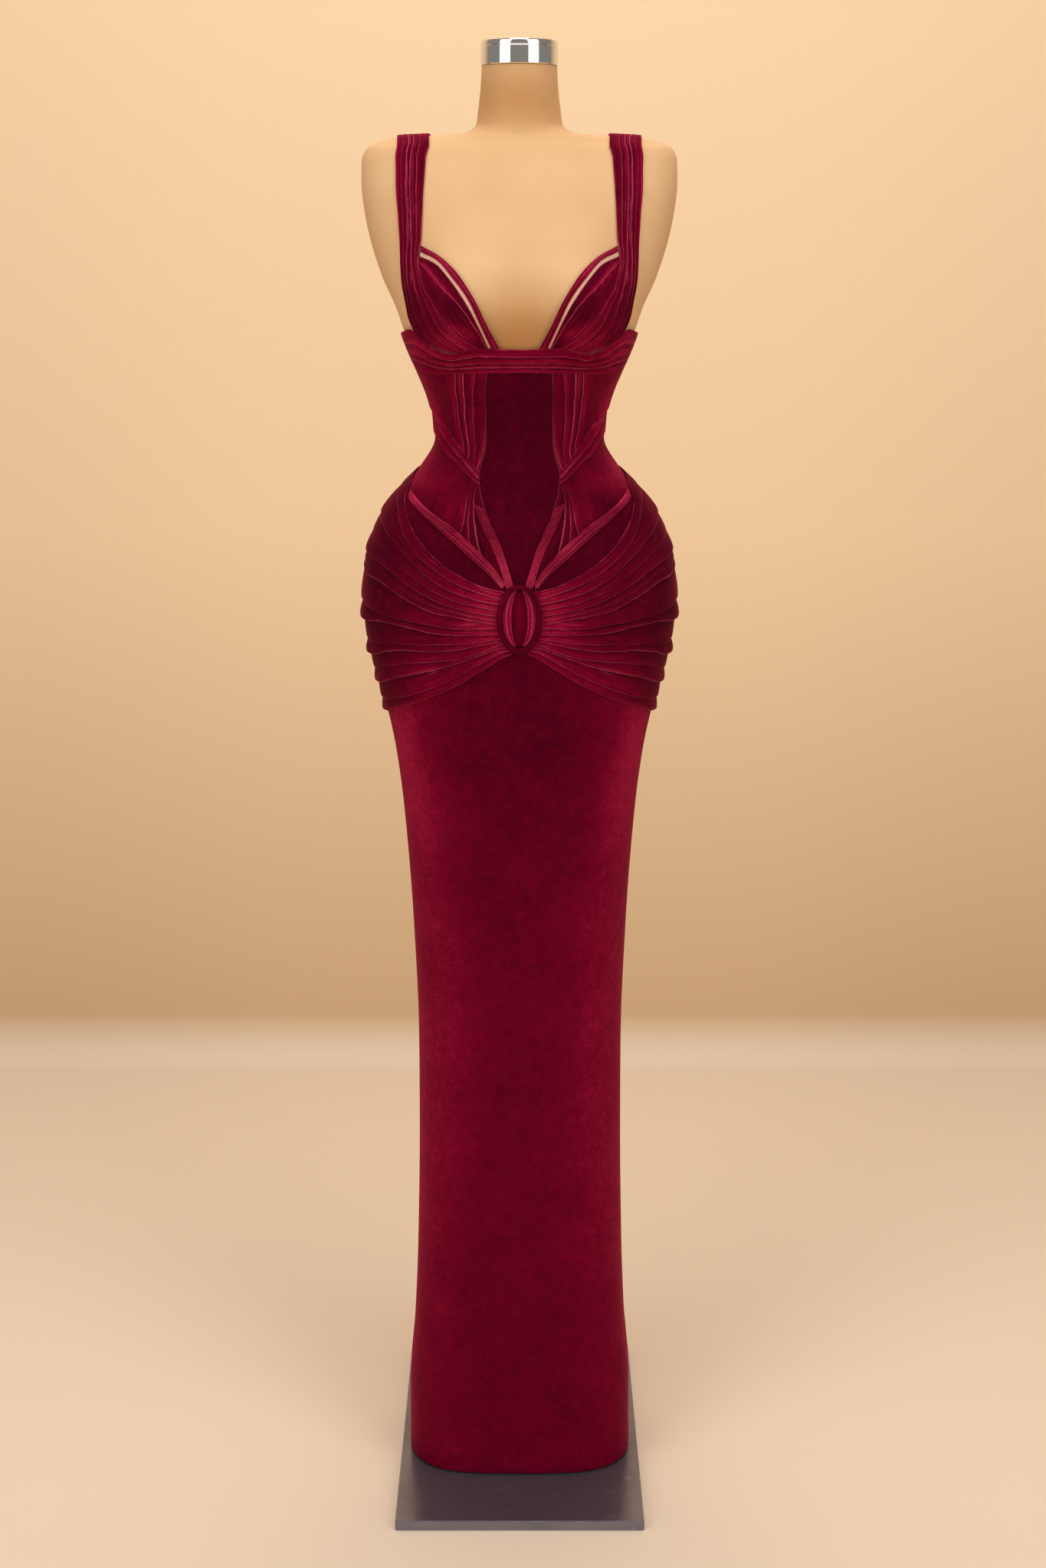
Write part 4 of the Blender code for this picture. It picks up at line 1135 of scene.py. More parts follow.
    def hip_yoke(self, side: Side) -> None:
        """Make the plain panel over the hip, with its two small darts."""
        lines = ((8, 9, 11, 15.6, 20.5), (11.5, 12.5, 14.5, 18.4, 21.5), (15, 17.5, 21.4, 20.2, 22.8),
                 (68, 68))
        glow = ((0.5, 0.5), (0, 0, 0, 0, 0.1, 0.8, 0.8, 0.4, 0), (0, 0, 0, 0, 0, 0.3, 0.6, 0.1, 0),
                (0, 0, 0, 0, 0, 0.05, 0.6, 0.3, 0), (0, 0), (0, 0))
        level = Smooth((0, SIDE_SEAM), (HIP_SEAM, HIP_SEAM))
        creases = self.upright(level, Edges.WRAP_BOTTOM, lines, glow, (0.0, 0.0006, 0.0006, 0.0004, 0.0))
        patch = FoldShape(0.0012, 0.2).patch(creases, BASE_OFF, self.yoke_nap)
        patch = self.fitted(patch, level, Edges.WRAP_BOTTOM)
        Tailor.sew("hip_yoke", patch, side=side)

    def back(self, side: Side) -> None:
        """Make the plain back panel."""
        up = np.linspace(0, 1, self.rows)[:, None]
        turn = np.linspace(SIDE_SEAM, BACK_SEAM, 60)[None, :]
        height = HIP_SEAM + (Edges.BACK_TOP(turn) - HIP_SEAM) * up
        unevenness = np.exp(-((height - 1.285) / 0.03) ** 2) * np.clip((BACK_SEAM - turn) / 20, 0, 1)
        wave = ripple(turn, height, 11, 120, 0.035) * unevenness * np.clip((turn - SIDE_SEAM) / 15, 0, 1)
        patch = plain_patch(turn, height, BASE_OFF + 0.0006 * wave, self.back_nap, 0.25)
        Tailor.sew("back", patch, side=side)


@dataclass
class Bust:
    """The under-bust band with the cups, mesh inserts and neckline edging above it."""

    stations: int = 90
    mesh_thickness: float = 0.0010
    mesh_drop: float = 0.0007
    band_creases: tuple[float, ...] = (0.0, 0.24, 0.40, 0.68, 1.0)
    band_glow: tuple[float, ...] = (0.45, 0.6, 0.35, 0.65, 0.45)
    band_rise: tuple[float, ...] = (0.0016, 0.0012, 0.0020, 0.0018, 0.0)
    # Painted light over the band, cups and edging: painted sheen at the band's sides, and painted highlights
    # along each cup's fold and at its foot
    band_nap: Nap = Nap(0.34, (Spot(60, 1.39, 18, 0.02, 0.25), Spot(0, 1.372, 25, 0.01, 0.08)))
    cup_nap: Nap = Nap(0.11, (Spot(36.5, 1.474, 1.8, 0.006, 0.45), Spot(34.2, 1.468, 1.8, 0.006, 0.55),
                              Spot(31.8, 1.460, 1.8, 0.006, 0.60), Spot(29.2, 1.452, 1.7, 0.006, 0.50),
                              Spot(26.5, 1.444, 1.5, 0.006, 0.35), Spot(20, 1.408, 6, 0.010, 0.34),
                              Spot(30, 1.412, 6, 0.008, 0.24)))
    edging_nap: Nap = Nap(0.40, (Spot(28, 1.48, 8, 0.02, 0.18),))

    def build(self) -> None:
        """Make the band and, on each side, the cup with what edges it."""
        self.band()
        for side in Side:
            self.cup(side)

    def band(self) -> None:
        """Make the tucked band."""
        turn = np.linspace(-SIDE_SEAM, SIDE_SEAM, 241)
        low, high = Edges.BAND_BOTTOM(np.abs(turn)), Edges.BAND_TOP(np.abs(turn))
        share = np.array(self.band_creases)[:, None]
        height = low + (high - low) * share
        unevenness = 1 + 0.25 * ripple(np.abs(turn)[None, :], height, 23, 60, 0.02)
        creases = Creases(turn + 0 * height, height, np.array(self.band_glow)[:, None] * unevenness,
                          np.array(self.band_rise)[:, None] * unevenness)
        creases.rise *= np.clip((86 - np.abs(turn)) / 24, 0.12, 1)
        patch = FoldShape(0.0018, 0.32).patch(creases, BASE_OFF, self.band_nap)
        Tailor.sew("bust_band", patch, Cut(Hold.GATHERED, 1.35))

    def between(self, low: tuple, high: tuple, shares: Rows, glow: Sequence[float],
                rise: Sequence[float]) -> Creases:
        """Return creases between two lines of the neckline.

        Args:
            low: Turns and heights of the lower line.
            high: Turns and heights of the upper line.
            shares: Place of each crease from the lower line to the upper, at even stations.
            glow: Brightness of each crease.
            rise: Rise of the fold beyond each crease.

        Returns:
            The creases.
        """
        last = len(low[0]) - 1
        at = np.linspace(0, last, self.stations)
        turn_low, height_low, turn_high, height_high = (
            Smooth(range(last + 1), values)(at) for values in (*low, *high))
        share = np.array([np.interp(at, np.linspace(0, last, len(row)), row) for row in shares])
        turn = turn_low + (turn_high - turn_low) * share
        height = np.maximum(height_low + (height_high - height_low) * share, Edges.BAND_TOP(turn))
        return Creases(turn, height, np.array(glow)[:, None] + 0 * turn,
                       np.array(rise)[:, None] * eased(at, last, 2, 2))

    def cup(self, side: Side) -> None:
        """Make a cup, its mesh insert and the edging above."""
        fold = self.between(Edges.CUP_SEAM, Edges.CUP_TOP,
                            ((0.0, 0.0), (0.45, 0.60, 0.66, 0.78, 0.85, 0.9), (1.0, 1.0)),
                            (0.8, 0.5, 0.3), (0.0004, 0.0010, 0.0))
        patch = FoldShape(0.0030, 0.2).patch(fold, BASE_OFF, self.cup_nap)
        Tailor.sew("cup", patch, Cut(across=1.05), side)
        insert = self.between(Edges.CUP_TOP, Edges.MESH_TOP, ((0, 0), (1, 1)), (0, 0), (0, 0))
        patch = FoldShape(shares=(0.0, 0.33, 0.66)).patch(insert, BASE_OFF - self.mesh_drop, Nap(0.5))
        Tailor.sew("mesh", patch, Cut(), side, "mesh_insert", Finish.MESH, self.mesh_thickness)
        edging = self.between(Edges.MESH_TOP, Edges.NECK_EDGE, ((0, 0), (0.55, 0.55), (1, 1)),
                              (0.2, 0.35, 0.3), (0.0004, 0.0003, 0.0))
        shape = FoldShape(0.0010, 0.2, (0.0, 0.15, 0.3, 0.5, 0.7, 0.85))
        Tailor.sew("neck_edging", shape.patch(edging, BASE_OFF, self.edging_nap), Cut(across=1.3), side)


@dataclass(frozen=True)
class StrapStep:
    """The strap's two edges at one station: outer turn and height, inner turn and height."""

    outer_turn: float
    outer_height: float
    inner_turn: float
    inner_height: float


STRAP_STEPS = tuple(StrapStep(*row) for row in (
    (118, 1.4060, 143, 1.4090),
    (120, 1.4480, 144, 1.4480),
    (124, 1.4920, 145.5, 1.4920),
    (128, 1.5360, 147, 1.5360),
    (131, 1.5780, 148, 1.5780),
    (131, 1.6010, 148, 1.6010),
    (120, 1.60992, 135, 1.61283),
    (105, 1.61257, 112, 1.61450),
    (90, 1.61310, 90, 1.61490),
    (75, 1.61257, 68, 1.61450),
    (60, 1.60992, 45, 1.61283),
    (49, 1.6010, 32, 1.6010),
    (47, 1.5720, 32.5, 1.5700),
    (47, 1.5380, 34, 1.5370),
    (48, 1.5100, 36, 1.5080),
    (51.5, 1.4740, 39.5, 1.4780),
    (55.5, 1.4470, 39.5, 1.4560),
    (59, 1.4220, 36.5, 1.4350),
    (57, 1.4070, 32.0, 1.4180),
    (49, 1.3945, 26.5, 1.4035),
    (34, 1.3850, 18.5, 1.3912),
))


@dataclass
class Straps:
    """The pleated straps, from the back neckline over the shoulder and round under the cups."""

    steps: tuple[StrapStep, ...] = STRAP_STEPS
    shoulder_ease: float = 0.0009
    over_shoulder: tuple[int, int] = (5, 11)
    on_cloth_from: int = 13
    on_cloth_full: int = 17
    count: int = 330
    step_turn: float = 12.0
    creases: tuple[tuple[float, ...], ...] = (
        (0.00, 0.00, 0.00, 0.00, 0.00, 0.00),
        (0.16, 0.16, 0.22, 0.16, 0.12, 0.08),
        (0.34, 0.33, 0.41, 0.34, 0.28, 0.20),
        (0.52, 0.50, 0.55, 0.66, 0.52, 0.42),
        (0.70, 0.66, 0.78, 0.86, 0.78, 0.70),
        (1.00, 1.00, 1.00, 1.00, 1.00, 1.00),
    )
    crease_at: tuple[float, ...] = (0, 8, 13, 16, 18, 20)
    glow: tuple[tuple[float, ...], ...] = (
        (0.85, 0.85, 0.80, 0.55, 0.60, 0.60),
        (0.10, 0.10, 0.15, 0.45, 0.75, 0.60),
        (0.85, 0.85, 0.95, 0.60, 0.40, 0.30),
        (0.65, 0.65, 0.85, 0.80, 0.15, 0.10),
        (0.30, 0.30, 0.60, 0.15, 0.60, 0.50),
        (0.45, 0.45, 0.45, 0.75, 0.85, 0.70),
    )
    rise: tuple[float, ...] = (0.0007, 0.0013, 0.0009, 0.0008, 0.0011, 0.0)
    settled: Smooth = Smooth((0, 4, 6.5, 9.5, 12, 20), (1.0, 1.0, 0.15, 0.15, 1.0, 1.0))
    # Painted sheen and shade along the strap: painted shade beside the cup, painted sheen where it turns
    # under the cup, and light and dark stripes over the front of the shoulder
    nap: Nap = Nap(0.30, (Spot(54, 1.445, 9, 0.035, -0.22), Spot(30, 1.40, 12, 0.012, 0.26),
                          Spot(47, 1.58, 3, 0.07, 0.14), Spot(35, 1.56, 3, 0.07, -0.12)))

    def build(self) -> None:
        """Make the strap on each side."""
        for side in Side:
            self.strap(side)

    def strap(self, side: Side) -> None:
        """Make one strap."""
        last = len(self.steps) - 1
        at = np.linspace(0, last, self.count)
        outer_turn, outer_height, inner_turn, inner_height = read_steps(
            self.steps, at, "outer_turn", "outer_height", "inner_turn", "inner_height")
        share, glow = (np.array([Smooth(self.crease_at, row)(at) for row in rows])
                       for rows in (self.creases, self.glow))
        turn = outer_turn + (inner_turn - outer_turn) * share
        height = outer_height + (inner_height - outer_height) * share
        outer_reach, inner_reach = (self.reach(edge, at) for edge in ("outer", "inner"))
        over = (at > self.over_shoulder[0]) & (at < self.over_shoulder[1])
        reach = outer_reach + (inner_reach - outer_reach) * share
        height[:, over] = FIGURE.shoulder_height(turn[:, over], reach[:, over])
        unevenness = 1 + 0.35 * ripple(at[None, :] * self.step_turn, share, 31, 70, 2.0)
        rise = np.array(self.rise)[:, None] * eased(at, last, 1, 1) * self.settled(at) * unevenness
        glow = glow * (1 + 0.3 * ripple(at[None, :] * self.step_turn, share, 33, 40, 0.7))
        patch = FoldShape(0.0020, 0.32).patch(Creases(turn, height, glow, rise), 0.0, self.nap)
        edge = np.where(patch.turn <= SIDE_SEAM, Edges.BAND_TOP(patch.turn), Edges.BACK_TOP(patch.turn))
        patch.height = np.maximum(patch.height, edge)
        span = self.on_cloth_full - self.on_cloth_from
        on_cloth = np.clip((at - self.on_cloth_from) / span, 0, 1) + np.clip(1 - at, 0, 1)
        ease = self.shoulder_ease + (LINING_EASE - self.shoulder_ease) * on_cloth
        patch.off = patch.off + ease[None, :] + CLOTH
        Tailor.sew("strap", patch, Cut(Hold.GATHERED, 1.4), side)

    def reach(self, edge: str, at: np.ndarray) -> np.ndarray:
        """Return an edge's distance from the middle at places along the strap.

        Args:
            edge: Which edge, outer or inner.
            at: Places along the steps.

        Returns:
            The distance at each place.
        """
        turn, height = (np.array([getattr(step, f"{edge}_{name}") for step in self.steps])
                        for name in ("turn", "height"))
        return Smooth(range(len(self.steps)), FIGURE.point(turn, height)[:, 0])(at)


@dataclass(frozen=True)
class RingClasp:
    """The covered oval ring on the centre front, with the knot and gathers inside it."""

    height: float = 1.0930
    half_width: float = 0.0226
    half_height: float = 0.0358
    tube: float = 0.0031
    knot_half_width: float = 0.0088
    knot_rise: float = 0.0034
    inside_half_width: float = 0.0192
    inside_half_height: float = 0.0325
    least_across: float = 0.0080
    end_share: float = 0.96

    def build(self) -> None:
        """Make the ring, its knot and its gathers."""
        self.ring()
        self.knot()
        for side in Side:
            self.gather(side)

    def inner_turn(self, height: float) -> float:
        """Return the turn that cloth under the ring reaches in to.

        Args:
            height: Height of the cloth's line near the ring.

        Returns:
            The turn, in degrees.
        """
        share = min(1.0, abs(height - self.height) / self.inside_half_height)
        across = max(self.least_across, self.inside_half_width * (1 - share ** 2) ** 0.5) + 0.0006
        return float(FIGURE.turn_at(across, height))

    def ring(self) -> None:
        """Make the ring as a cord swept along its oval."""
        angle = np.linspace(0, 2 * pi, 120, endpoint=False)
        x, height = self.half_width * np.sin(angle), self.height + self.half_height * np.cos(angle)
        line = FIGURE.held_off(FIGURE.turn_at(x, height), height, OVER_OFF + 0.0006 + self.tube)
        ring = Thread.piping().run("velvet_ring", [line], Finish.VELVET, True, nodes=("ring",),
                                   Radius=self.tube)
        count = len(ring.data.vertices)
        # The ring's even, dark painted sheen, with no painted highlight lines
        for name, value in (("nap", 0.12), ("fold", 0.5), ("fold_width", 1.0), ("glow", 0.0)):
            attribute = ring.data.attributes.new(name, "FLOAT", "POINT")
            attribute.data.foreach_set("value", np.full(count, value, np.float32))

    def knot(self) -> None:
        """Make the padded knot up the middle."""
        up = np.linspace(-self.end_share, self.end_share, 70)[None, :]
        across = np.linspace(-1, 1, 33)[:, None]
        x = self.knot_half_width * np.sqrt(1 - up ** 2) * across
        height = self.height + self.inside_half_height * up + 0 * across
        arch = np.cos(0.5 * pi * up / self.end_share)
        off = OVER_OFF + self.knot_rise * np.cos(0.5 * pi * across) ** 1.2 * arch ** 0.7
        turn = FIGURE.turn_at(x, height)
        # The knot is dark, with a painted highlight up its middle
        patch = plain_patch(turn, height, off, Nap(0.03, (Spot(0, self.height, 1.2, 0.03, 0.24),)))
        Tailor.sew("ring_knot", patch, Cut(Hold.GATHERED, 1.2, 1.05))

    def gather(self, side: Side) -> None:
        """Make the crescent of gathered cloth beside the knot."""
        up = np.linspace(-self.end_share, self.end_share, 70)
        knot, rim = (half * np.sqrt(1 - up ** 2) for half in (self.knot_half_width, self.inside_half_width))
        share = np.array([0.0, 0.50, 1.0])[:, None]
        x = knot + (rim - knot) * share
        height = self.height + self.inside_half_height * up + 0 * share
        # Painted highlights along the crescent's creases, over a bright painted sheen
        glow = np.array([0.10, 1.00, 0.70])[:, None] + 0 * x
        rise = np.array([0.0016, 0.0012, 0.0])[:, None] * np.cos(0.5 * pi * up / self.end_share)
        creases = Creases(FIGURE.turn_at(x, height), height, glow, rise)
        patch = FoldShape(0.0010, 0.35).patch(creases, OVER_OFF, Nap(0.66))
        Tailor.sew("ring_gather", patch, Cut(Hold.GATHERED, 1.3), side)


@dataclass(frozen=True)
class DrapeLine:
    """A crease of the hip fan: its height at each turn of the fan, and, near the ring and at
    the side, its glow and the rise of the fold above it."""

    heights: tuple[float, ...]
    glow_ring: float
    glow_side: float
    rise_ring: float
    rise_side: float


@dataclass
class HipDrape:
    """The fan of folds from the ring round the hip to the centre back."""

    turns: tuple[float, ...] = (1.5, 5, 10, 20, 30, 45, 60, 75, 95, 120, 150, 180)
    lines: tuple[DrapeLine, ...] = (
        DrapeLine((1.0535, 1.048, 1.037, 1.019, 1.006, 0.992, 0.983, 0.973, 0.969, 0.968, 0.970, 0.971),
                  0.5, 0.55, 0.0022, 0.0034),
        DrapeLine((1.0585, 1.055, 1.046, 1.029, 1.016, 1.002, 0.993, 0.988, 0.985, 0.984, 0.986, 0.989),
                  0.5, 0.20, 0.0020, 0.0012),
        DrapeLine((1.0620, 1.060, 1.054, 1.043, 1.034, 1.025, 1.016, 1.007, 1.004, 1.002, 1.004, 1.008),
                  0.55, 0.50, 0.0026, 0.0044),
        DrapeLine((1.0655, 1.064, 1.057, 1.047, 1.043, 1.038, 1.032, 1.023, 1.021, 1.020, 1.022, 1.027),
                  0.6, 0.15, 0.0018, 0.0010),
        DrapeLine((1.0680, 1.067, 1.064, 1.058, 1.054, 1.053, 1.048, 1.040, 1.040, 1.042, 1.045, 1.047),
                  0.5, 0.50, 0.0026, 0.0046),
        DrapeLine((1.0708, 1.070, 1.068, 1.064, 1.062, 1.060, 1.057, 1.055, 1.056, 1.058, 1.062, 1.066),
                  0.5, 0.10, 0.0014, 0.0012),
        DrapeLine((1.0762, 1.076, 1.075, 1.074, 1.075, 1.081, 1.083, 1.080, 1.082, 1.086, 1.090, 1.093),
                  0.5, 0.50, 0.0022, 0.0048),
        DrapeLine((1.0820, 1.082, 1.082, 1.081, 1.084, 1.088, 1.092, 1.097, 1.101, 1.105, 1.109, 1.112),
                  0.6, 0.25, 0.0026, 0.0018),
        DrapeLine((1.0868, 1.087, 1.089, 1.094, 1.099, 1.114, 1.128, 1.133, 1.139, 1.143, 1.146, 1.148),
                  0.6, 0.40, 0.0022, 0.0013),
        DrapeLine((1.0905, 1.091, 1.093, 1.099, 1.106, 1.122, 1.138, 1.143, 1.149, 1.153, 1.157, 1.158),
                  0.4, 0.05, 0.0012, 0.0005),
        DrapeLine((1.0945, 1.096, 1.098, 1.104, 1.113, 1.131, 1.147, 1.153, 1.159, 1.163, 1.166, 1.168),
                  0.65, 0.35, 0.0026, 0.0018),
        DrapeLine((1.1005, 1.102, 1.105, 1.112, 1.122, 1.145, 1.163, 1.172, 1.180, 1.184, 1.187, 1.188),
                  0.5, 0.08, 0.0012, 0.0006),
        DrapeLine((1.1070, 1.109, 1.112, 1.120, 1.133, 1.160, 1.179, 1.191, 1.200, 1.205, 1.206, 1.206),
                  0.65, 0.30, 0.0024, 0.0016),
        DrapeLine((1.1125, 1.115, 1.120, 1.131, 1.146, 1.174, 1.203, 1.220, 1.230, 1.235, 1.234, 1.232),
                  0.6, 0.30, 0.0020, 0.0012),
        DrapeLine((1.1220, 1.124, 1.128, 1.142, 1.159, 1.189, 1.215, 1.236, 1.246, 1.250, 1.248, 1.246),
                  0.9, 0.45, 0.0, 0.0),
    )
    columns: int = 200
    start: float = 5.0
    fine_to: float = 60.0
    fades_over: float = 60.0
    ring_reach: float = 32.0
    flat_to: float = 12.0
    under_ring: float = 6.0
    ring: RingClasp = RingClasp()
    # Painted light over the drape: painted sheen bright near the ring, and painted shade over its outer part
    # at the side
    nap: Nap = Nap(0.20, (Spot(7, 1.09, 14, 0.05, 0.38), Spot(30, 1.02, 20, 0.022, 0.16),
                          Spot(28, 1.135, 14, 0.016, 0.06), Spot(80, 1.11, 36, 0.12, -0.20)))

    def build(self) -> None:
        """Make the drape on each side."""
        for side in Side:
            self.drape(side)

    def between_ends(self, name: str, ring: np.ndarray) -> np.ndarray:
        """Return each line's value, from its value at the side to its value near the ring."""
        at_side, at_ring = (np.array([getattr(line, f"{name}_{end}") for line in self.lines])[:, None]
                            for end in ("side", "ring"))
        return at_side + (at_ring - at_side) * ring

    def drape(self, side: Side) -> None:
        """Make one drape."""
        near = np.linspace(self.start, self.fine_to, self.columns // 2, endpoint=False)
        turn = np.append(near, np.linspace(self.fine_to, BACK_SEAM, self.columns - len(near)))
        across = np.clip((turn - self.start) / self.under_ring, 0, 1)
        turns = np.array([self.ring.inner_turn(line.heights[0]) * (1 - across) + turn * across
                          for line in self.lines])
        height = np.array([Smooth(self.turns, line.heights)(row) for line, row in zip(self.lines, turns)])
        flat = np.clip((turn - self.start) / self.flat_to, 0.12, 1)
        fade = np.clip((BACK_SEAM - turn) / self.fades_over, 0.45, 1)
        ring = np.exp(-((turn - self.start) / self.ring_reach) ** 2)
        unevenness = ripple(turn[None, :], height, 41, 38, 0.05)
        glow, rise = (self.between_ends(name, ring) for name in ("glow", "rise"))
        glow = np.clip(glow * (1 + 0.4 * unevenness), 0, 1)
        rise = rise * flat * fade * (1 + 0.35 * unevenness)
        patch = FoldShape(0.0024, 0.30).patch(Creases(turns, height, glow, rise), OVER_OFF, self.nap)
        Tailor.sew("hip_drape", patch, Cut(Hold.GATHERED, 1.3), side)


@dataclass(frozen=True)
class BandStep:
    """Two edges of a narrow band at one station."""

    upper_turn: float
    upper_height: float
    lower_turn: float
    lower_height: float


@dataclass
class NarrowBand:
    """A narrow folded band that runs in under the ring."""

    name: str
    steps: tuple[BandStep, ...]
    creases: tuple[float, ...]
    glow: tuple[float, ...]
    rise: tuple[float, ...]
    # Painted sheen and shade of the band's pile
    nap: Nap
    lip: float = 0.0014
    count: int = 120

    def build(self) -> None:
        """Make the band on each side."""
        at = np.linspace(0, len(self.steps) - 1, self.count)
        lower_turn, lower_height, upper_turn, upper_height = read_steps(
            self.steps, at, "lower_turn", "lower_height", "upper_turn", "upper_height")
        share = np.array(self.creases)[:, None]
        turn = lower_turn + (upper_turn - lower_turn) * share
        height = lower_height + (upper_height - lower_height) * share
        fade = eased(at, at[-1] - 0.6, 2, 0.8)
        creases = Creases(turn, height, np.array(self.glow)[:, None] + 0 * turn,
                          np.array(self.rise)[:, None] * (0.15 + 0.85 * fade))
        for side in Side:
            patch = FoldShape(self.lip, 0.4).patch(creases, OVER_OFF, self.nap)
            Tailor.sew(self.name, patch, Cut(Hold.GATHERED, 1.35), side)


# The two narrow bands; the last numbers of each are its painted sheen, brighter in patches
ROLL_BAND = NarrowBand(
    "roll_band",
    (BandStep(64, 1.2285, 61, 1.2215), BandStep(50, 1.2190, 47, 1.2095), BandStep(34.5, 1.2042, 33, 1.1935),
     BandStep(24.5, 1.1925, 24.5, 1.1800), BandStep(12.3, 1.1664, 14.5, 1.1580),
     BandStep(6.4, 1.1460, 8.0, 1.1400), BandStep(3.5, 1.1310, 4.7, 1.1268)),
    (0.0, 0.34, 0.62, 1.0), (0.35, 1.0, 0.45, 0.75), (0.0016, 0.0022, 0.0012, 0.0),
    Nap(0.40, (Spot(56, 1.216, 12, 0.012, 0.50), Spot(20, 1.17, 12, 0.02, 0.12))),
)
V_STRAP = NarrowBand(
    "v_strap",
    (BandStep(12.3, 1.2140, 18.0, 1.2200), BandStep(10.0, 1.2010, 14.5, 1.2050),
     BandStep(7.0, 1.1860, 11.0, 1.1880), BandStep(4.8, 1.1710, 7.5, 1.1690),
     BandStep(3.0, 1.1520, 5.0, 1.1480), BandStep(1.1, 1.1282, 3.2, 1.1264)),
    (0.0, 0.26, 0.50, 0.74, 1.0), (0.6, 0.3, 0.5, 0.35, 0.5), (0.0008, 0.0006, 0.0009, 0.0006, 0.0),
    Nap(0.30, (Spot(4, 1.145, 8, 0.028, 0.45),)),
    0.0008,
)


@dataclass
class BackZip:
    """The closed zip in the centre back: tape, teeth, slider and pull tab."""

    bottom: float = 1.0948
    top: float = 1.3920
    half_turn: float = 1.2
    tape: float = 0.0008
    tooth_spacing: float = 0.0020
    tooth_size: float = 0.00032

    def build(self) -> None:
        """Make the tape with its teeth, and finish the slider and the pull tab."""
        height = np.linspace(self.bottom, self.top, 90)[:, None]
        turn = BACK_SEAM + self.half_turn * np.linspace(-1, 1, 7)[None, :]
        patch = plain_patch(turn, height, self.tape, Nap(0.2))
        Tailor.sew("zip_tape", patch, Cut(Hold.HUNG, 1.0, 1.0), title="zip_tape_woven",
                   finish=Finish.ZIP_TAPE, thickness=self.tape)
        rows = [FIGURE.held_off(BACK_SEAM + turn_off, height[:, 0], self.tape + 0.0003)
                for turn_off in (-0.25, 0.25)]
        Thread.stitches().run("zip_teeth", rows, Finish.ZIP_METAL, Spacing=self.tooth_spacing,
                              Thickness=self.tooth_size, Slimness=1.4)
        Tailor.refinish(("zip_slider", "zip_pull"), Finish.ZIP_METAL)


@dataclass
class Seams:
    """Pipings and stitches that run along the dress's edges."""

    hem_stitch_height: float = 0.0290
    piping_radius: float = 0.00026
    piping_span: tuple[float, float] = (HIP_SEAM + 0.055, 1.3620)
    zip_span: tuple[float, float] = (1.10, 1.395)
    zip_turn: float = 3.6
    lift: float = 0.00005

    def build(self) -> None:
        """Make the tongue's piping, and the stitches of the hem, zip and neckline."""
        piping, stitches = Thread.piping(), Thread.stitches()
        near, proud = BASE_OFF + self.lift, BASE_OFF + 2 * self.lift
        height = np.linspace(*self.piping_span, 260)
        lines = [FIGURE.held_off(sign * Edges.TONGUE(height), height, proud) for sign in (-1, 1)]
        piping.run("tongue_piping", lines, Finish.PIPING, Radius=self.piping_radius)
        turns = np.linspace(-SIDE_SEAM + 1, SIDE_SEAM - 1, 180)
        hem = [FIGURE.held_off(turns + start, self.hem_stitch_height + 0 * turns, near)
               for start in (0.0, BACK_SEAM)]
        stitches.run("hem_stitches", hem, Finish.SEWING, Spacing=0.0042, Thickness=0.00028, Slimness=4.5)
        height = np.linspace(*self.zip_span, 200)
        beside = [FIGURE.held_off(BACK_SEAM + turn, height, near) for turn in (-self.zip_turn, self.zip_turn)]
        stitches.run("zip_stitches", beside, Finish.SEWING, Spacing=0.0030, Thickness=0.00024, Slimness=4.0)
        at = np.linspace(0.15, 4.9, 120)
        turn, height = (Smooth(range(6), low)(at) * 0.12 + Smooth(range(6), high)(at) * 0.88
                        for low, high in zip(Edges.MESH_TOP, Edges.NECK_EDGE))
        neck = [FIGURE.held_off(sign * turn, height, proud) for sign in (-1, 1)]
        stitches.run("neck_stitches", neck, Finish.SEWING, Spacing=0.0030, Thickness=0.00022, Slimness=4.0)


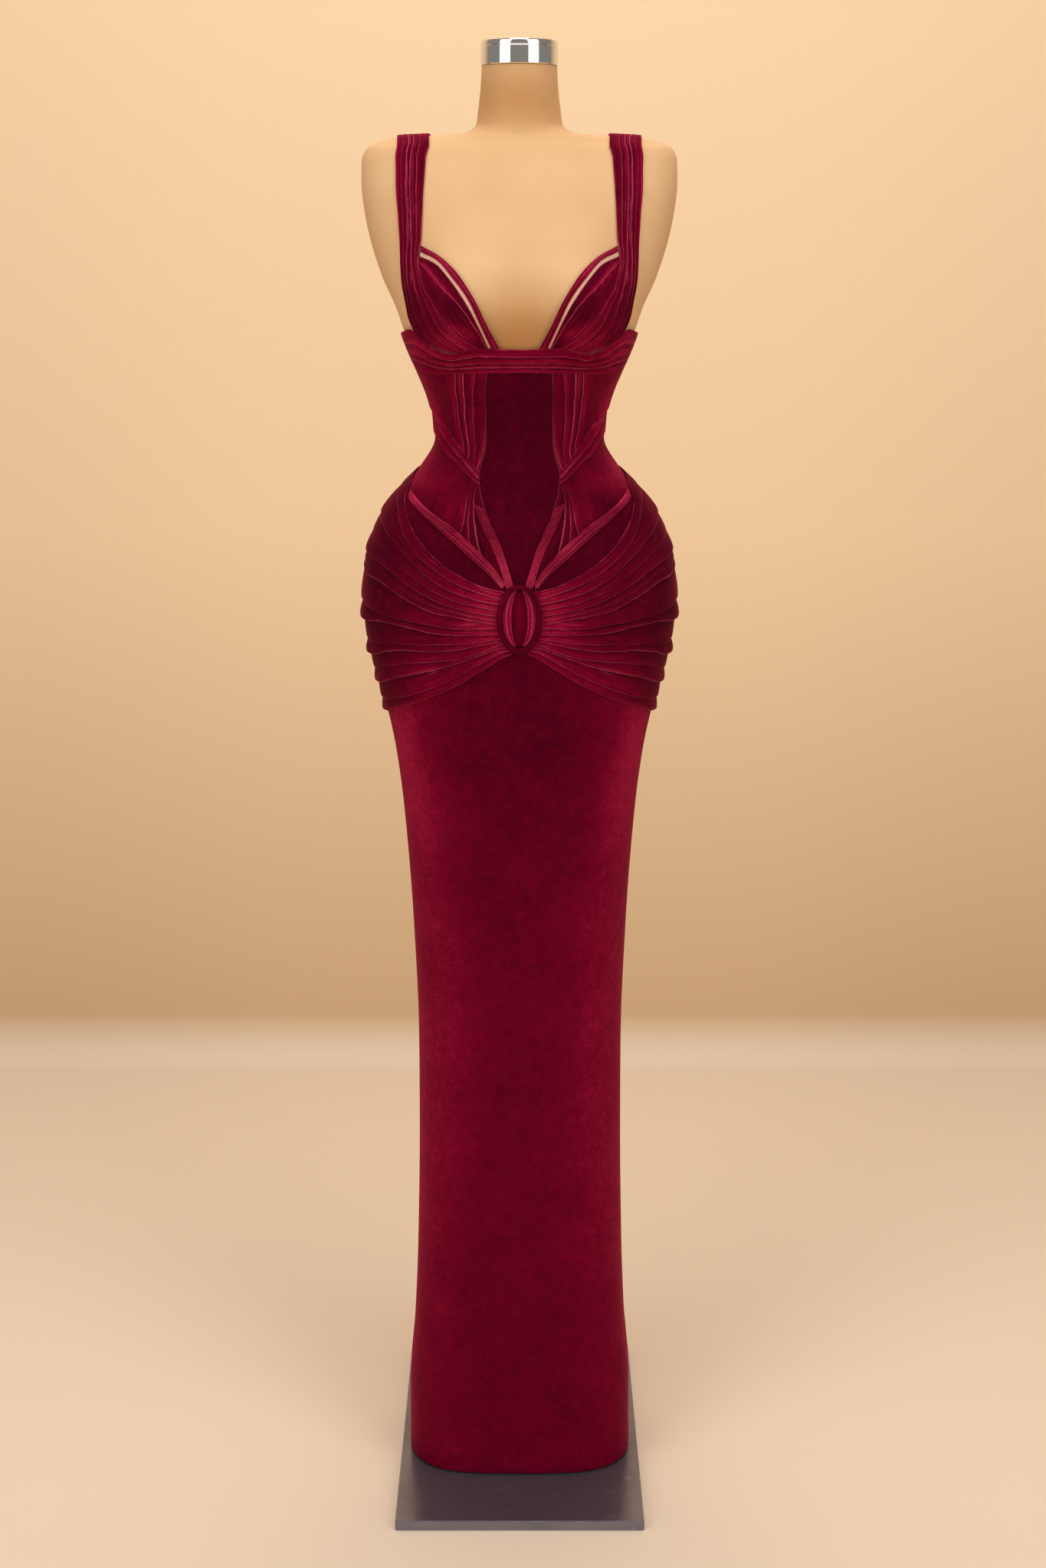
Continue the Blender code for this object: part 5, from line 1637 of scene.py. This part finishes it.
@dataclass
class Stand:
    """The dress form, its neck cap, pole and base plate."""

    # Heights that the form's rings are spread evenly between, and how many start in each span
    levels: tuple[float, ...] = (0.930, 1.38, 1.59, 1.6125, 1.6185, 1.64, 1.6875)
    rows: tuple[int, ...] = (70, 70, 30, 34, 30, 19)
    covered_ease: float = -0.0015
    shown_ease: float = -0.0004
    shows_from: float = 1.500
    blend: float = 0.030
    # Painted shade over the form cover: deeper at the lower centre of the chest, by the armholes and on the
    # neck
    tone: Nap = Nap(0.06, (Spot(0, 1.395, 25, 0.052, 0.86), Spot(0, 1.655, 400, 0.036, 0.44),
                           Spot(0, 1.645, 60, 0.034, 0.26), Spot(84, 1.46, 16, 0.09, 0.36),
                           Spot(35, 1.50, 10, 0.03, 0.10)))
    cap_radius: float = 0.0426
    cap_height: float = 0.0262
    cap_groove: float = 0.0195

    def build(self) -> None:
        """Make the form's smooth body and cap, and finish the pole and plate."""
        self.form()
        self.cap()
        Tailor.refinish(("pole", "base_plate"), Finish.STEEL)

    @staticmethod
    def closed_loft(name: str, rings: np.ndarray) -> bpy.types.Object:
        """Return a closed body through rings of points, listed upwards and turning to +X first.

        Args:
            name: Name of the object.
            rings: Points of the rings.

        Returns:
            The mesh object.
        """
        rows, columns = rings.shape[:2]
        index = np.arange(rows * columns).reshape(rows, columns)
        right = np.roll(index, -1, 1)
        quads = np.stack([index[:-1], right[:-1], right[1:], index[1:]], -1).reshape(-1, 4)
        faces = quads.tolist() + [index[0, ::-1].tolist(), index[-1].tolist()]
        mesh = bpy.data.meshes.new(name)
        mesh.from_pydata(rings.reshape(-1, 3).tolist(), [], faces)
        mesh.shade_smooth()
        mesh.set_sharp_from_angle(angle=radians(30))
        return placed(name, mesh)

    def form(self) -> None:
        """Make the form's body."""
        spans = zip(self.levels, self.levels[1:], self.rows)
        heights = np.append(np.concatenate([np.linspace(*span, endpoint=False) for span in spans]),
                            self.levels[-1])
        shows = np.clip((heights - self.shows_from) / self.blend + 1, 0, 1)
        ease = self.covered_ease + (self.shown_ease - self.covered_ease) * shows
        turns = np.arange(0, 360, 2.5)
        rings = FIGURE.held_off(turns[None, :], heights[:, None], ease[:, None])
        body = self.closed_loft("form_body", rings)
        # The painted shade at each point of the form
        tone = self.tone.over((turns[None, :] + 180) % 360 - 180, heights[:, None]).astype(np.float32)
        body.data.attributes.new("tone", "FLOAT", "POINT").data.foreach_set("value", tone.ravel())
        Tailor.finish_piece(body, Finish.FORM, ("form_torso",))

    def cap(self) -> None:
        """Make the turned cap with its groove."""
        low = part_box("neck_cap")[0].z
        high, r = low + self.cap_height, self.cap_radius
        groove = low + self.cap_groove
        profile = ((0.004, low), (r - 0.0008, low), (r, low + 0.0008), (r, groove - 0.0008),
                   (r - 0.0006, groove), (r, groove + 0.0008), (r, high - 0.0030),
                   (r - 0.0009, high - 0.0010), (r - 0.0030, high), (0.004, high))
        angles = np.radians(np.arange(0, 360, 3.0))
        rings = np.array([[(rad * np.sin(a), -rad * np.cos(a), z) for a in angles] for rad, z in profile])
        Tailor.finish_piece(self.closed_loft("chrome_neck_cap", rings), Finish.CHROME, ("neck_cap",))


@dataclass(frozen=True)
class SoftLight:
    """A soft light: where it is, where it points, its size, power and colour."""

    name: str
    place: tuple[float, float, float]
    target: tuple[float, float, float]
    width: float
    length: float
    power: float
    colour: Colour = (1.0, 0.96, 0.90)


@dataclass
class Studio:
    """The pale room, its soft lights and the camera."""

    camera_place: tuple[float, float, float] = (0.004, -2.4, 1.509)
    camera_pitch: float = 14.8
    lens: float = 47.71
    room_colour: Colour = (0.93, 0.70, 0.46)
    # Colour of the painted shade at the foot of the wall
    foot_colour: Colour = (0.70, 0.50, 0.31)
    floor_colour: Colour = (0.88, 0.73, 0.59)
    air_colour: Colour = (1.0, 0.93, 0.82)
    air_strength: float = 0.24
    wall_distance: float = 1.30
    wall_height: float = 4.5
    wall_half_width: float = 5.0
    lights: tuple[SoftLight, ...] = (
        SoftLight("left_key", (-2.05, -2.2, 2.2), (0, 0, 1.2), 1.7, 2.8, 36.0),
        SoftLight("right_key", (2.05, -2.2, 2.2), (0, 0, 1.2), 1.7, 2.8, 36.0),
        SoftLight("top_fill", (0.0, -0.9, 3.6), (0, 0, 1.2), 1.8, 1.8, 34.0),
        SoftLight("back_fill", (0.0, 0.9, 3.4), (0, 0, 0.8), 1.6, 1.6, 20.0),
    )

    def build(self) -> None:
        """Make the room, the lights and the camera."""
        self.room()
        for light in self.lights:
            self.lamp(light)
        self.camera()
        world = bpy.data.worlds.new("soft_room")
        world.use_nodes = True
        background = world.node_tree.nodes["Background"]
        background.inputs["Color"].default_value = (*self.air_colour, 1.0)
        background.inputs["Strength"].default_value = self.air_strength
        bpy.context.scene.world = world
        bpy.context.scene.view_settings.view_transform = "Standard"

    @staticmethod
    def lamp(light: SoftLight) -> None:
        """Make one soft area light."""
        data = bpy.data.lights.new(light.name, "AREA")
        data.shape = "RECTANGLE"
        data.size = light.width
        data.size_y = light.length
        data.energy = light.power
        data.color = light.colour
        lamp = placed(light.name, data)
        lamp.location = light.place
        way = np.array(light.target) - np.array(light.place)
        lamp.rotation_euler = (np.arctan2(np.hypot(way[0], way[1]), -way[2]), 0.0,
                               np.arctan2(way[1], way[0]) - pi / 2)

    def camera(self) -> None:
        """Make the camera at the photograph's angle."""
        data = bpy.data.cameras.new("camera")
        data.lens = self.lens
        data.sensor_width = 36.0
        camera = placed("camera", data)
        camera.location = self.camera_place
        camera.rotation_euler = (radians(90 - self.camera_pitch), 0.0, 0.0)
        bpy.context.scene.camera = camera

    def room(self) -> None:
        """Make the pale floor, curved up into a wall that is seen through from its far side."""
        far, bend, half, top = self.wall_distance, 0.08, self.wall_half_width, self.wall_height
        angles = np.linspace(0, 0.5 * pi, 16)
        profile = [(-6.0, 0.0), (0.0, 0.0)]
        profile += [(far - bend + bend * np.sin(a), bend - bend * np.cos(a)) for a in angles]
        profile.append((far, top))
        points = [(x, y, z) for x in (-half, half) for y, z in profile]
        count = len(profile)
        faces = [(i, i + count, i + count + 1, i + 1) for i in range(count - 1)]
        mesh = bpy.data.meshes.new("pale_room")
        mesh.from_pydata(points, [], faces)
        mesh.shade_smooth()
        bench = NodeBench("pale_room")
        split = bench.node("ShaderNodeSeparateXYZ")
        bench.plug(split.inputs[0], bench.place)
        # The wall darkens to a painted shade towards its foot; the floor below has its own colour
        colour = bench.mix(bench.span(split.outputs["Z"], 0.1, 1.0), self.foot_colour, self.room_colour)
        colour = bench.mix(bench.span(split.outputs["Z"], 0.0, 0.08), self.floor_colour, colour)
        far_side = bench.node("ShaderNodeNewGeometry").outputs["Backfacing"]
        bench.settle(Base_Color=colour, Roughness=0.9, Specular_IOR_Level=0.1,
                     Alpha=bench.math("SUBTRACT", 1.0, far_side))
        mesh.materials.append(bench.material)
        placed("pale_room", mesh)


def main() -> None:
    """Build the room, the stand and the dress."""
    logging.basicConfig(level=logging.INFO, format="%(message)s")
    for part in (Studio(), Stand(), Skirt(), Bodice(), Bust(), Straps(), HipDrape(), ROLL_BAND, V_STRAP,
                 RingClasp(), BackZip(), Seams()):
        part.build()


if __name__ == "__main__":
    main()
